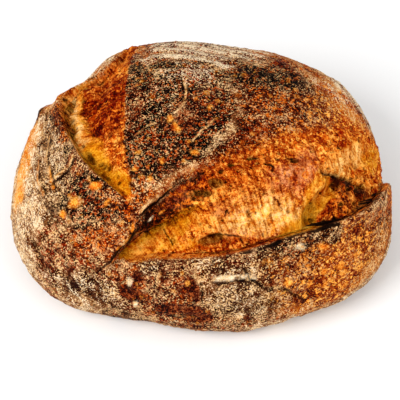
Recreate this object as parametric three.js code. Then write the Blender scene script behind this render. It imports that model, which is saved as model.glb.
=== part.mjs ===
// A scored sourdough loaf: one solid body of bread, in millimetres, +Z up, standing on its flat base.
//
// The crust is worked out over a flat map. A place on the map is (u, v): how far the crust runs from the
// crown, measured over the loaf, to the right (u) and to the back (v). The rim of the map is the edge of
// the flat base. Every cut, hollow, lip and crack is set out on that map, and moves the crust along its own
// normal.
import * as THREE from "three";

// ---- Driving sizes of the plain loaf ----
const HALF_LENGTH = 121.5;
const HALF_WIDTH = 102.5;
const HEIGHT = 106;
const BELLY_HEIGHT = 30; // the widest level
const DOME_FULLNESS = 2.25; // 2 is an ellipse, more is squarer
const FOOT_INSET = 0.2; // share of the width that turns in under the belly
const FOOT_FULLNESS = 2;
const OVAL_FULLNESS = 2.2;
const OVAL_TURN = -2.2; // degrees
const LOBES = [
  // unevenness of the outline: how many lobes, their share of the radius, the first one's direction
  { count: 3, share: 0.026, toward: -29 },
  { count: 4, share: 0.015, toward: -59 },
  { count: 5, share: 0.011, toward: 52 },
  { count: 6, share: -0.0135, toward: 8 },
];
const MEAN_RADIUS = 108; // sets how long the crust's arc is taken to be
const BOX_MIDDLE = { x: 0, y: 1.5 }; // where the finished loaf's box has its middle; the part is moved by it

// ---- Small maths ----
const radians = (degrees) => (degrees * Math.PI) / 180;
const clamp = (x, low, high) => Math.min(high, Math.max(low, x));

function smooth(low, high, x) {
  const t = clamp((x - low) / (high - low), 0, 1);
  return t * t * (3 - 2 * t);
}

const bell = (x, width) => Math.exp(-0.5 * (x / width) ** 2);

// A smooth line through [along, across] pairs, level past its two ends.
function through(points) {
  const slope = (i) => {
    const a = points[Math.max(i - 1, 0)];
    const b = points[Math.min(i + 1, points.length - 1)];
    return (b[1] - a[1]) / (b[0] - a[0]);
  };
  return (x) => {
    const last = points.length - 1;
    if (x <= points[0][0]) return points[0][1];
    if (x >= points[last][0]) return points[last][1];
    const i = points.findIndex((p) => p[0] > x) - 1;
    const [x0, y0] = points[i];
    const [x1, y1] = points[i + 1];
    const step = x1 - x0;
    const t = (x - x0) / step;
    const keep = t * t * (3 - 2 * t);
    const leave = t * (1 - t) * (1 - t);
    const arrive = t * t * (t - 1);
    return y0 * (1 - keep) + y1 * keep + step * (leave * slope(i) + arrive * slope(i + 1));
  };
}

// Even random numbers on a lattice, joined smoothly: from -1 to 1.
const SHUFFLE = { i: 127.1, j: 311.7, gain: 43758.5453 }; // any large uneven numbers do

function lattice(i, j) {
  const x = Math.sin(i * SHUFFLE.i + j * SHUFFLE.j) * SHUFFLE.gain;
  return 2 * (x - Math.floor(x)) - 1;
}

function noise(x, y) {
  const i = Math.floor(x);
  const j = Math.floor(y);
  const s = smooth(0, 1, x - i);
  const t = smooth(0, 1, y - j);
  const near = lattice(i, j) * (1 - s) + lattice(i + 1, j) * s;
  const far = lattice(i, j + 1) * (1 - s) + lattice(i + 1, j + 1) * s;
  return near * (1 - t) + far * t;
}

// ---- The plain loaf ----
const PROFILE_STEPS = 400;

// The meridian from the crown over the belly to the edge of the base: arc length, share of radius, height.
function meridian() {
  const rows = [];
  for (let i = 0; i <= PROFILE_STEPS; i++) {
    const angle = (i / PROFILE_STEPS) * (Math.PI / 2);
    const rise = Math.max(Math.cos(angle), 0) ** (2 / DOME_FULLNESS);
    rows.push({
      share: Math.sin(angle) ** (2 / DOME_FULLNESS),
      height: BELLY_HEIGHT + (HEIGHT - BELLY_HEIGHT) * rise,
    });
  }
  for (let i = 1; i <= PROFILE_STEPS; i++) {
    const angle = (i / PROFILE_STEPS) * (Math.PI / 2);
    const out = Math.max(Math.cos(angle), 0) ** (2 / FOOT_FULLNESS);
    rows.push({
      share: 1 - FOOT_INSET + FOOT_INSET * out,
      height: BELLY_HEIGHT * (1 - Math.sin(angle) ** (2 / FOOT_FULLNESS)),
    });
  }
  let arc = 0;
  rows.forEach((row, i) => {
    const before = rows[Math.max(i - 1, 0)];
    arc += Math.hypot((row.share - before.share) * MEAN_RADIUS, row.height - before.height);
    row.arc = arc;
  });
  return rows;
}

const MERIDIAN = meridian();
const REACH = MERIDIAN[MERIDIAN.length - 1].arc; // crown to the edge of the base, over the crust
const BELLY_AT = MERIDIAN[PROFILE_STEPS].arc;

function meridianAt(arc) {
  let low = 0;
  let high = MERIDIAN.length - 1;
  while (high - low > 1) {
    const middle = (low + high) >> 1;
    if (MERIDIAN[middle].arc <= arc) low = middle;
    else high = middle;
  }
  const a = MERIDIAN[low];
  const b = MERIDIAN[high];
  const t = clamp((arc - a.arc) / (b.arc - a.arc), 0, 1);
  return { share: a.share + (b.share - a.share) * t, height: a.height + (b.height - a.height) * t };
}

function outline(angle) {
  const turned = angle - radians(OVAL_TURN);
  const across = Math.abs(Math.cos(turned) / HALF_LENGTH) ** OVAL_FULLNESS;
  const deep = Math.abs(Math.sin(turned) / HALF_WIDTH) ** OVAL_FULLNESS;
  const oval = (across + deep) ** (-1 / OVAL_FULLNESS);
  const uneven = LOBES.map((lobe) => lobe.share * Math.cos(lobe.count * (angle - radians(lobe.toward))));
  return oval * uneven.reduce((sum, share) => sum + share, 1);
}

function plain(u, v) {
  const { share, height } = meridianAt(Math.hypot(u, v));
  const angle = Math.atan2(v, u);
  const radius = outline(angle) * share;
  return new THREE.Vector3(radius * Math.cos(angle), radius * Math.sin(angle), height);
}

const NORMAL_STEP = 0.8; // mm either side

function plainNormal(u, v) {
  const alongU = plain(u + NORMAL_STEP, v).sub(plain(u - NORMAL_STEP, v));
  const alongV = plain(u, v + NORMAL_STEP).sub(plain(u, v - NORMAL_STEP));
  return alongU.cross(alongV).normalize();
}

// ---- The two cuts that burst open in the oven ----
// Each is set out on the map turned by `turn`: `along` the cut and `across` it. `lip` is the edge that the
// floor drops away from, `brow` the edge that it climbs back to, `depth` how deep the floor lies at the
// lip, and `reach` the share of the width over which it climbs. `curl` is how far the crust stands up at
// the lip.
const FRONT_CUT = {
  turn: 24,
  lip: through([
    [-104, -60], [-78, -76], [-51, -90], [-20, -96], [13, -93.5], [50, -85.5], [88, -71], [120, -61], [145, -54],
  ]),
  brow: through([
    [-104, -60], [-90, -59], [-76, -56], [-66, -48], [-39, -39.5], [5, -34], [36, -29.5], [75, -28], [145, -24],
  ]),
  depth: through([
    [-104, 0], [-92, 6], [-72, 12], [-20, 12], [20, 10.5], [50, 10], [80, 8], [105, 6], [128, 4], [145, 0],
  ]),
  reach: through([[-90, 1.7], [-35, 1.6], [-10, 0.9], [30, 0.8], [60, 0.75], [100, 0.9], [145, 1]]),
  curl: through([[-104, 0], [-80, 1], [-20, 2], [40, 3], [90, 3], [130, 1]]),
};

const SIDE_CUT = {
  turn: -90,
  lip: through([
    [-112, -50], [-95, -54], [-78, -58], [-65, -62], [-42, -78], [-30, -84], [-15, -84], [0, -79], [20, -67],
    [41, -53], [62, -43],
  ]),
  brow: through([[-112, -46], [-95, -42], [-60, -44], [-20, -44], [20, -41], [50, -41.5], [62, -43]]),
  depth: through([[-112, 0], [-95, 4], [-60, 8], [-30, 11], [0, 12], [30, 9], [50, 5], [62, 0]]),
  reach: through([[-112, 1], [-60, 1.2], [0, 1.1], [62, 1.3]]),
  curl: through([[-112, 0], [-60, 0], [-35, 4], [-15, 4], [20, 2], [62, 0.5]]),
};

const CUTS = [FRONT_CUT, SIDE_CUT];
const WALL = 3; // how far a cut's wall slopes, in mm over the map
const LIP_BACK = 7; // how soon a lip's curl dies away on the crust
const LIP_FRONT = 1.5; // and towards the torn crumb

function cutAt(cut, u, v) {
  const c = Math.cos(radians(cut.turn));
  const s = Math.sin(radians(cut.turn));
  const along = u * c + v * s;
  const across = v * c - u * s;
  const lip = cut.lip(along);
  const width = Math.max(cut.brow(along) - lip, 0.5);
  return { along, aboveLip: across - lip, belowBrow: lip + width - across, share: (across - lip) / width };
}

function insideCut(place) {
  return smooth(0, WALL, place.aboveLip) * smooth(0, WALL, place.belowBrow);
}

function cutRelief(cut, u, v) {
  const place = cutAt(cut, u, v);
  const climb = smooth(0, cut.reach(place.along), place.share);
  const floor = -cut.depth(place.along) * (1 - climb) * insideCut(place);
  const lip = cut.curl(place.along) * bell(place.aboveLip, place.aboveLip < 0 ? LIP_BACK : LIP_FRONT);
  return floor + lip;
}

// ---- Single forms on the map ----
// Hollows are cells that the oven tore open, with a crisp rim; swells are soft mounds, or dents if their
// height is negative. `long` and `wide` are half sizes, and `turn` is where the long side points.
const HOLLOWS = [
  { name: "golden bay", u: -28, v: -85, long: 27, wide: 11, turn: 22, deep: 5 },
  { name: "olive bay", u: 65, v: -52, long: 21, wide: 7, turn: 76, deep: 8 },
  { name: "eye by the lip", u: 8, v: -89, long: 9, wide: 4.5, turn: 22, deep: 5 },
  { name: "upper eye", u: -2, v: -61, long: 7, wide: 3.5, turn: 5, deep: 4 },
  { name: "round cell", u: 9, v: -53, long: 5, wide: 4, turn: 0, deep: 4 },
  { name: "ridge cell", u: 75, v: -37, long: 5, wide: 4, turn: 20, deep: 5 },
  { name: "end cell", u: 94, v: -31, long: 4.5, wide: 3.5, turn: 60, deep: 5 },
  { name: "side upper cell", u: -77, v: 6, long: 9, wide: 4, turn: -70, deep: 4 },
  { name: "side lower cell", u: -54, v: -29, long: 13, wide: 5, turn: -58, deep: 4 },
  { name: "far pale bay", u: 98, v: -6, long: 25, wide: 9, turn: 42, deep: 3 },
];

const SWELLS = [
  { name: "risen crumb", u: 28, v: -52, long: 34, wide: 17, turn: 24, high: 3.5 },
  { name: "fold above the lip", u: 30, v: -88, long: 30, wide: 4, turn: 26, high: 4 },
  { name: "torn block", u: 84, v: -45, long: 15, wide: 8, turn: 38, high: 4.5 },
  { name: "end roll", u: 108, v: -24, long: 16, wide: 7, turn: 42, high: 3 },
  { name: "side slope", u: -55, v: 8, long: 40, wide: 9, turn: 82, high: 2.5 },
  { name: "flap tip", u: -104, v: 36, long: 12, wide: 9, turn: 125, high: 3 },
  { name: "sunk back left", u: -88, v: 68, long: 25, wide: 20, turn: 140, high: -8.5 },
  { name: "torn point", u: -49, v: 91, long: 12, wide: 5, turn: 100, high: 3 },
  { name: "lower back", u: 0, v: 97, long: 60, wide: 34, turn: 0, high: -1.4 },
  { name: "right shoulder", u: 110, v: 42, long: 50, wide: 30, turn: -58, high: 1.2 },
  { name: "left cheek", u: -136, v: -18, long: 50, wide: 30, turn: 90, high: 1.4 },
  { name: "right notch", u: 126, v: 2, long: 16, wide: 9, turn: 60, high: -4 },
  { name: "front shoulder", u: 10, v: -125, long: 50, wide: 14, turn: 4, high: 1.5 },
  { name: "crown panel", u: 0, v: 8, long: 40, wide: 34, turn: 30, high: 1.5 },
];

const SWELL_WIDTH = 0.62; // share of the half sizes at which a swell has fallen to 0.6 of its height

// How far (u, v) is from a form's middle, as a share of its half sizes.
function shareOut(form, u, v) {
  const c = Math.cos(radians(form.turn));
  const s = Math.sin(radians(form.turn));
  const du = u - form.u;
  const dv = v - form.v;
  return Math.hypot((du * c + dv * s) / form.long, (dv * c - du * s) / form.wide);
}

const hollowRelief = (form, u, v) => -form.deep * Math.max(1 - shareOut(form, u, v) ** 2, 0);
const swellRelief = (form, u, v) => form.high * bell(shareOut(form, u, v), SWELL_WIDTH);

// ---- Seams: cracks and the edges of lifted flakes, as grooves and ridges along short lines ----
const SEAMS = [
  { name: "front crack", high: -2, wide: 1.8, line: [[30, -105], [35, -110], [45, -115], [57, -112], [75, -117]] },
  { name: "front flake", high: 1.8, wide: 2.4, line: [[7, -115], [20, -111], [37, -110]] },
  { name: "floury edge", high: 1.6, wide: 2.6, line: [[-5, -105], [-3, -115], [0, -125], [0, -137]] },
  { name: "left flake", high: 2, wide: 3, line: [[-95, -12], [-92, -25], [-88, -38], [-80, -55]] },
  { name: "left fold", high: -2.2, wide: 3.5, line: [[-108, -58], [-105, -72], [-106, -84], [-111, -97]] },
  { name: "peeled edge", high: 1.6, wide: 2.4, line: [[-70, -18], [-80, -28], [-85, -37]] },
  { name: "base crack", high: -2, wide: 2, line: [[14, -140], [30, -134], [46, -131]] },
];

// The place on a seam's line that is nearest to (u, v), and how far away it is over the map.
function nearestOn({ line }, u, v) {
  const places = line.slice(1).map(([u1, v1], i) => {
    const [u0, v0] = line[i];
    const run = (u1 - u0) ** 2 + (v1 - v0) ** 2;
    const t = clamp(((u - u0) * (u1 - u0) + (v - v0) * (v1 - v0)) / run, 0, 1);
    const place = [u0 + t * (u1 - u0), v0 + t * (v1 - v0)];
    return { place, away: Math.hypot(u - place[0], v - place[1]) };
  });
  return places.reduce((best, p) => (p.away < best.away ? p : best));
}

const seamRelief = (seam, u, v) => seam.high * bell(nearestOn(seam, u, v).away, seam.wide / 2);

// ---- Lumps of the dough, and the torn crumb ----
const CRAGS = { size: 6.5, high: 1.1 };
const LUMPS = { size: 34, high: 1.2, u: 3.7, v: 9.1 }; // u and v shift the pattern
const SMALL_LUMPS = { size: 16, high: 0.54 };

function lumpRelief(u, v) {
  const coarse = noise(u / LUMPS.size + LUMPS.u, v / LUMPS.size + LUMPS.v);
  const fine = noise(u / SMALL_LUMPS.size, v / SMALL_LUMPS.size);
  return LUMPS.high * coarse + SMALL_LUMPS.high * fine;
}

// 1 where the crumb is torn open, 0 on the crust.
const tornAt = (u, v) => Math.max(...CUTS.map((cut) => insideCut(cutAt(cut, u, v))));

const FOOT_FADE = 16; // mm over which all relief dies away towards the flat base

function relief(u, v) {
  const torn = tornAt(u, v);
  let height = lumpRelief(u, v) + CRAGS.high * torn * noise(u / CRAGS.size, v / CRAGS.size);
  for (const cut of CUTS) height += cutRelief(cut, u, v);
  for (const form of SWELLS) height += swellRelief(form, u, v);
  for (const form of HOLLOWS) height += hollowRelief(form, u, v) * torn;
  for (const seam of SEAMS) height += seamRelief(seam, u, v);
  return height * smooth(0, FOOT_FADE, REACH - Math.hypot(u, v));
}

const onRim = (u, v) => Math.hypot(u, v) > REACH - 1e-6;

function crust(u, v) {
  const point = plain(u, v);
  if (onRim(u, v)) return point.setZ(0);
  return point.addScaledVector(plainNormal(u, v), relief(u, v));
}

// ---- The mesh: a coarse web over the map, split where the form needs it ----
const COARSE = { rings: 14, spokes: 42 };
const SPAN = { plain: 12, torn: 4.1, seam: 4.1, under: 18 }; // longest side of a facet, in mm over the map
const SPLIT_ROUNDS = 5;
const FINE_BESIDE = { lip: 9, brow: 5, full: 2 }; // how far beside a cut the facets are still fine, in mm

function besideCut({ aboveLip, belowBrow }) {
  const lip = smooth(-FINE_BESIDE.lip, -FINE_BESIDE.full, aboveLip);
  return lip * smooth(-FINE_BESIDE.brow, -FINE_BESIDE.full, belowBrow);
}

function spanAt(u, v) {
  const near = Math.max(...CUTS.map((cut) => besideCut(cutAt(cut, u, v))));
  const seam = Math.min(...SEAMS.map((s) => nearestOn(s, u, v).away));
  const top = SPAN.plain + (SPAN.torn - SPAN.plain) * near;
  const lower = top + (SPAN.under - top) * smooth(BELLY_AT, REACH, Math.hypot(u, v)) * (1 - near);
  return seam < SPAN.seam ? Math.min(lower, SPAN.seam) : lower;
}

function coarseWeb() {
  const places = [[0, 0]];
  for (let ring = 1; ring <= COARSE.rings; ring++) {
    for (let spoke = 0; spoke < COARSE.spokes; spoke++) {
      const angle = (2 * Math.PI * (spoke + 0.5 * (ring % 2))) / COARSE.spokes;
      const away = (REACH * ring) / COARSE.rings;
      places.push([away * Math.cos(angle), away * Math.sin(angle)]);
    }
  }
  const at = (ring, spoke) => 1 + (ring - 1) * COARSE.spokes + ((spoke + COARSE.spokes) % COARSE.spokes);
  const faces = [];
  for (let spoke = 0; spoke < COARSE.spokes; spoke++) {
    faces.push([0, at(1, spoke), at(1, spoke + 1)]);
    for (let ring = 1; ring < COARSE.rings; ring++) {
      // odd rings are shifted by half a step
      const shift = ring % 2;
      faces.push([at(ring, spoke), at(ring + 1, spoke + shift), at(ring, spoke + 1)]);
      faces.push([at(ring, spoke), at(ring + 1, spoke + shift - 1), at(ring + 1, spoke + shift)]);
    }
  }
  return { places, faces };
}

// Splits every side that is longer than spanAt allows, and cuts each face to match.
function splitOnce({ places, faces }) {
  const sides = new Map();
  const key = (a, b) => (a < b ? a + "_" + b : b + "_" + a);
  for (const face of faces) {
    for (let i = 0; i < 3; i++) {
      const side = key(face[i], face[(i + 1) % 3]);
      sides.set(side, (sides.get(side) ?? 0) + 1);
    }
  }
  const middles = new Map();
  for (const [side, uses] of sides) {
    const [a, b] = side.split("_").map((n) => places[n]);
    const middle = [(a[0] + b[0]) / 2, (a[1] + b[1]) / 2];
    if (Math.hypot(a[0] - b[0], a[1] - b[1]) <= spanAt(...middle)) continue;
    const rim = uses === 1 ? REACH / Math.hypot(...middle) : 1; // a side on the rim stays on the rim
    middles.set(side, places.length);
    places.push([middle[0] * rim, middle[1] * rim]);
  }
  const split = [];
  for (const face of faces) {
    const cut = [0, 1, 2].map((i) => middles.get(key(face[i], face[(i + 1) % 3])));
    const count = cut.filter((m) => m !== undefined).length;
    // turned so that one split side comes first, or two of them
    const first = cut.findIndex((m) => m !== undefined);
    const start = count === 2 ? (cut.indexOf(undefined) + 1) % 3 : Math.max(first, 0);
    const [a, b, c] = [0, 1, 2].map((i) => face[(start + i) % 3]);
    const [ab, bc, ca] = [0, 1, 2].map((i) => cut[(start + i) % 3]);
    if (count === 0) split.push(face);
    else if (count === 1) split.push([a, ab, c], [ab, b, c]);
    else if (count === 2) split.push([ab, b, bc], [a, ab, bc], [a, bc, c]);
    else split.push([a, ab, ca], [ab, b, bc], [ca, bc, c], [ab, bc, ca]);
  }
  return { places, faces: split };
}

// Where a cut's edges or a seam run near a place, the place moves onto them, so that they come out crisp.
const SNAP = { reach: 1.6, leastArea: 0.9 }; // mm, mm2 over the map

function nearestEdge(u, v) {
  for (const cut of CUTS) {
    const { along, aboveLip, belowBrow } = cutAt(cut, u, v);
    if (cut.depth(along) < 0.5) continue;
    const steps = [-aboveLip, WALL - aboveLip, belowBrow, belowBrow - WALL];
    const step = steps.reduce((best, s) => (Math.abs(s) < Math.abs(best) ? s : best));
    if (Math.abs(step) > SNAP.reach) continue;
    const turn = radians(cut.turn);
    return [u - step * Math.sin(turn), v + step * Math.cos(turn)];
  }
  const seams = SEAMS.map((seam) => nearestOn(seam, u, v)).filter(({ away }) => away < SNAP.reach);
  return seams.length ? seams[0].place : null;
}

function snapToEdges({ places, faces }) {
  const around = places.map(() => []);
  for (const face of faces) for (const n of face) around[n].push(face);
  const area = ([a, b, c]) => {
    const [p, q, r] = [places[a], places[b], places[c]];
    return ((q[0] - p[0]) * (r[1] - p[1]) - (r[0] - p[0]) * (q[1] - p[1])) / 2;
  };
  places.forEach((place, n) => {
    const edge = onRim(...place) ? null : nearestEdge(...place);
    if (!edge) return;
    places[n] = edge;
    if (around[n].some((face) => area(face) < SNAP.leastArea)) places[n] = place;
  });
}

function loafGeometry() {
  let web = coarseWeb();
  for (let round = 0; round < SPLIT_ROUNDS; round++) web = splitOnce(web);
  snapToEdges(web);
  const points = web.places.map(([u, v]) => crust(u, v));
  const faces = [...web.faces];
  // The flat base: a fan from its middle to every side of the rim.
  const middle = points.length;
  points.push(new THREE.Vector3(0, 0, 0));
  const rim = (n) => onRim(...web.places[n]);
  for (const [a, b, c] of web.faces) {
    for (const [from, to] of [[a, b], [b, c], [c, a]]) {
      if (rim(from) && rim(to)) faces.push([to, from, middle]);
    }
  }
  const geometry = new THREE.BufferGeometry().setFromPoints(points);
  geometry.setIndex(faces.flat());
  geometry.translate(-BOX_MIDDLE.x, -BOX_MIDDLE.y, 0);
  geometry.computeVertexNormals();
  return geometry;
}

// ---- The part ----
const crustMaterial = new THREE.MeshStandardMaterial({ color: 0x8a4a1c, roughness: 0.85, metalness: 0 });

const loaf = new THREE.Mesh(loafGeometry(), crustMaterial);
loaf.name = "loaf";

const part = new THREE.Group();
part.add(loaf);

export default part;
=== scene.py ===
# %% [markdown]
# # A scored sourdough loaf
#
# A country loaf is one thing: a skin of baked dough round a soft crumb. Two cuts were made in the dough
# before it went into the oven. They burst open as it rose, so the crust ends in thick curled lips, and the
# torn crumb between them baked to gold and rust. Flour from the proving basket lies on the crust.
#
# A sculpted mesh could hold all of that, but it could not be read or changed. Here the loaf is worked out
# instead: a flat map of the crust, on which every form is set out, is laid over a plain dome and moved in
# and out. The same map then says where the crust is black, floury, golden or bare.

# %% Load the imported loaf
import bpy
import numpy as np
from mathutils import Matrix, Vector


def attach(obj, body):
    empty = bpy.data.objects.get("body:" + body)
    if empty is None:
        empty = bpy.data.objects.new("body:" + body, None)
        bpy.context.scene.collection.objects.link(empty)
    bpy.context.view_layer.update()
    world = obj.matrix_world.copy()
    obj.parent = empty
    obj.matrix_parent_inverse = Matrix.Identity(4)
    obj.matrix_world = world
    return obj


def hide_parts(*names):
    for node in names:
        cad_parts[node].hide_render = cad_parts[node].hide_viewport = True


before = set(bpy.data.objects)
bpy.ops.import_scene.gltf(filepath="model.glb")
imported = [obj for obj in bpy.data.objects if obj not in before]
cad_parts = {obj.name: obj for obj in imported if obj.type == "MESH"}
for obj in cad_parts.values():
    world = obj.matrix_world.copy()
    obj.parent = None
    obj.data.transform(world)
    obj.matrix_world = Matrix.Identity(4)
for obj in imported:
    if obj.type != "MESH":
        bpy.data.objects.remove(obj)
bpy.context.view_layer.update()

# %% [markdown]
# ## Three small curves
#
# Nearly every form below is one of these: an eased step for an edge, a bell for a soft mound, and a smooth
# line through a few points for something that changes along a cut. numpy works each of them out for all
# the points at once.

# %% Curves
MM = 0.001


def smooth(low, high, x):
    """Eased step: 0 below low, 1 above high, and 3t2 - 2t3 at the share t of the way between them."""
    t = np.clip((x - low) / (high - low), 0, 1)
    return t * t * (3 - 2 * t)


def bell(x, width):
    """Bell curve: e to the power of minus half the square of x / width."""
    return np.exp(-0.5 * (x / width) ** 2)


def through(points):
    """A smooth line through [along, across] pairs, level past its ends: a cubic between each two points,
    whose slope at a point is that of the line from the point before it to the point after it."""
    along, across = np.array(points, float).T
    after = np.minimum(np.arange(len(along)) + 1, len(along) - 1)
    before = np.maximum(np.arange(len(along)) - 1, 0)
    slope = (across[after] - across[before]) / (along[after] - along[before])

    def line(x):
        x = np.clip(x, along[0], along[-1])
        i = np.clip(np.searchsorted(along, x, side="right") - 1, 0, len(along) - 2)
        step = along[i + 1] - along[i]
        t = (x - along[i]) / step
        rise = t * t * (3 - 2 * t)
        bend = t * (1 - t) ** 2 * slope[i] + t * t * (t - 1) * slope[i + 1]
        return across[i] * (1 - rise) + across[i + 1] * rise + step * bend

    return line


# %% [markdown]
# ## The plain loaf
#
# Dough that stands free in the oven settles into a dome: flat below, widest a little above the stone, and
# fuller than an ellipse on top. It could be a scaled sphere, but then the belly and the foot would be
# wrong. One profile from the crown to the edge of the base, stretched to an uneven oval outline, gives
# both. These are the driving sizes of the solid, in millimetres.

# %% Sizes of the plain loaf
HALF_LENGTH = 121.5
HALF_WIDTH = 102.5
HEIGHT = 106
BELLY_HEIGHT = 30  # the widest level
DOME_FULLNESS = 2.25  # 2 is an ellipse, more is squarer
FOOT_INSET = 0.2  # share of the width that turns in under the belly
FOOT_FULLNESS = 2
OVAL_FULLNESS = 2.2
OVAL_TURN = -2.2  # degrees
LOBES = [(3, 0.026, -29), (4, 0.015, -59), (5, 0.011, 52), (6, -0.0135, 8)]  # count, share, direction
MEAN_RADIUS = 108
BOX_MIDDLE = (0, 1.5)  # the solid's box has its middle here, and the loaf is moved by it

PROFILE_STEPS = 400
quarter = np.linspace(0, np.pi / 2, PROFILE_STEPS + 1)
dome_share = np.sin(quarter) ** (2 / DOME_FULLNESS)
dome_height = BELLY_HEIGHT + (HEIGHT - BELLY_HEIGHT) * np.cos(quarter).clip(0) ** (2 / DOME_FULLNESS)
foot_share = 1 - FOOT_INSET + FOOT_INSET * np.cos(quarter[1:]).clip(0) ** (2 / FOOT_FULLNESS)
foot_height = BELLY_HEIGHT * (1 - np.sin(quarter[1:]) ** (2 / FOOT_FULLNESS))
profile_share = np.concatenate([dome_share, foot_share])
profile_height = np.concatenate([dome_height, foot_height])
profile_steps = np.hypot(np.diff(profile_share) * MEAN_RADIUS, np.diff(profile_height))
profile_arc = np.concatenate([[0], np.cumsum(profile_steps)])
REACH = profile_arc[-1]  # from the crown to the edge of the base, over the crust
BELLY_AT = profile_arc[PROFILE_STEPS]
print(f"the crust runs {REACH:.1f} mm from the crown to the base, and {BELLY_AT:.1f} mm to the belly")


# %% Places on the plain loaf
def outline(angle):
    """Radius of the loaf seen from above: an oval, times 1 plus a few cosine lobes."""
    turned = angle - np.radians(OVAL_TURN)
    across = np.abs(np.cos(turned) / HALF_LENGTH) ** OVAL_FULLNESS
    deep = np.abs(np.sin(turned) / HALF_WIDTH) ** OVAL_FULLNESS
    uneven = sum(share * np.cos(count * (angle - np.radians(toward))) for count, share, toward in LOBES)
    return (across + deep) ** (-1 / OVAL_FULLNESS) * (1 + uneven)


def plain(u, v):
    """The place over which (u, v) lies: the profile at that distance from the crown, in that direction."""
    arc = np.hypot(u, v)
    angle = np.arctan2(v, u)
    radius = outline(angle) * np.interp(arc, profile_arc, profile_share)
    height = np.interp(arc, profile_arc, profile_height)
    return np.stack([radius * np.cos(angle), radius * np.sin(angle), height], axis=-1)


def plain_normal(u, v, step=0.8):
    """Outward direction there: the cross product of the ways in which u and v lead."""
    along_u = plain(u + step, v) - plain(u - step, v)
    along_v = plain(u, v + step) - plain(u, v - step)
    normal = np.cross(along_u, along_v)
    return normal / (np.linalg.norm(normal, axis=-1, keepdims=True) + 1e-12)


# %% [markdown]
# ## Randomness that comes out the same each time
#
# Dough is never even. A lattice of random numbers, joined smoothly, gives lumps of any size. The first
# lattice is flat and is the solid's own, so that the big lumps agree with it. The second fills space, so
# that grain keeps its size wherever the map is stretched.

# %% Noise
SHUFFLE = (127.1, 311.7, 43758.5453)  # any large uneven numbers do


def flat_lattice(i, j):
    """Random number from -1 to 1 for whole i and j: the fraction of a large sine."""
    x = np.sin(i * SHUFFLE[0] + j * SHUFFLE[1]) * SHUFFLE[2]
    return 2 * (x - np.floor(x)) - 1


def flat_noise(x, y):
    """The flat lattice's four nearest numbers, blended by how near they are."""
    i, j = np.floor(x), np.floor(y)
    s, t = smooth(0, 1, x - i), smooth(0, 1, y - j)
    near = flat_lattice(i, j) * (1 - s) + flat_lattice(i + 1, j) * s
    far = flat_lattice(i, j + 1) * (1 - s) + flat_lattice(i + 1, j + 1) * s
    return near * (1 - t) + far * t


MIXERS = np.array([0x9E3779B1, 0x85EBCA77, 0xC2B2AE3D, 0x27D4EB2F], np.uint32)  # odd numbers that mix well


def lot(places, draw):
    """Random number from 0 to 1 for each whole (i, j, k): multiplied and folded over itself, once for each
    of the three and once for the draw."""
    folded = np.zeros(places.shape[:-1], np.uint32)
    whole = (places.astype(np.int64) & 0xFFFFFFFF).astype(np.uint32)
    for number, mixer in zip([*np.moveaxis(whole, -1, 0), np.uint32(draw)], MIXERS):
        folded = (folded ^ number) * mixer
        folded = folded ^ (folded >> np.uint32(15))
    return folded / 2.0**32


CORNERS = np.array([[i, j, k] for i in (0, 1) for j in (0, 1) for k in (0, 1)])
TILT = np.linalg.qr(np.array([[2.0, 1, -1], [-1, 3, 1], [1, 1, 2]]))[0]  # turns the lattice off the axes


def noise(points, size, draw=0):
    """Smooth noise from -1 to 1 with lumps of the given size: the eight nearest numbers, blended."""
    places = points @ TILT / size
    corner = np.floor(places)
    share = smooth(0, 1, places - corner)
    total = 0
    for step in CORNERS:
        weight = np.where(step, share, 1 - share).prod(axis=-1)
        total = total + weight * lot(corner + step, draw)
    return 2 * total - 1


def grain(points, size, draw=0, layers=3):
    """Noise of ever smaller lumps, each layer half the size and a little over half the height."""
    heights = 0.55 ** np.arange(layers)
    return sum(h * noise(points, size / 2**n, draw + n) for n, h in enumerate(heights)) / heights.sum()


AROUND = np.array([[i, j, k] for i in (-1, 0, 1) for j in (-1, 0, 1) for k in (-1, 0, 1)])


def beads(points, spacing, radius, draw=0):
    """Round domes from 0 to 1 scattered a spacing apart: 1 - (distance / radius)2 of the nearest one, where
    the radius is drawn between the two given."""
    corner = np.floor(points / spacing)
    best = np.zeros(len(points))
    for step in AROUND:
        cell = corner + step
        middle = np.stack([cell[:, n] + lot(cell, draw + n) for n in range(3)], axis=-1) * spacing
        reach = radius[0] + (radius[1] - radius[0]) * lot(cell, draw + 3) ** 2
        away = np.linalg.norm(points - middle, axis=-1)
        best = np.maximum(best, 1 - (away / reach) ** 2)
    return best


# %% [markdown]
# ## The two cuts
#
# A baker cuts the dough at a low angle, so one side of the cut lifts as a lip and the other side slides
# away under it. Each cut is set out on the map turned by its own angle: where the lip runs, where the torn
# floor climbs back to the crust, how deep it is, and how far the lip curls up. A displacement straight up
# can't make a lip that hangs over its own shadow, so here the floor also tucks back under the lip.

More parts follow.
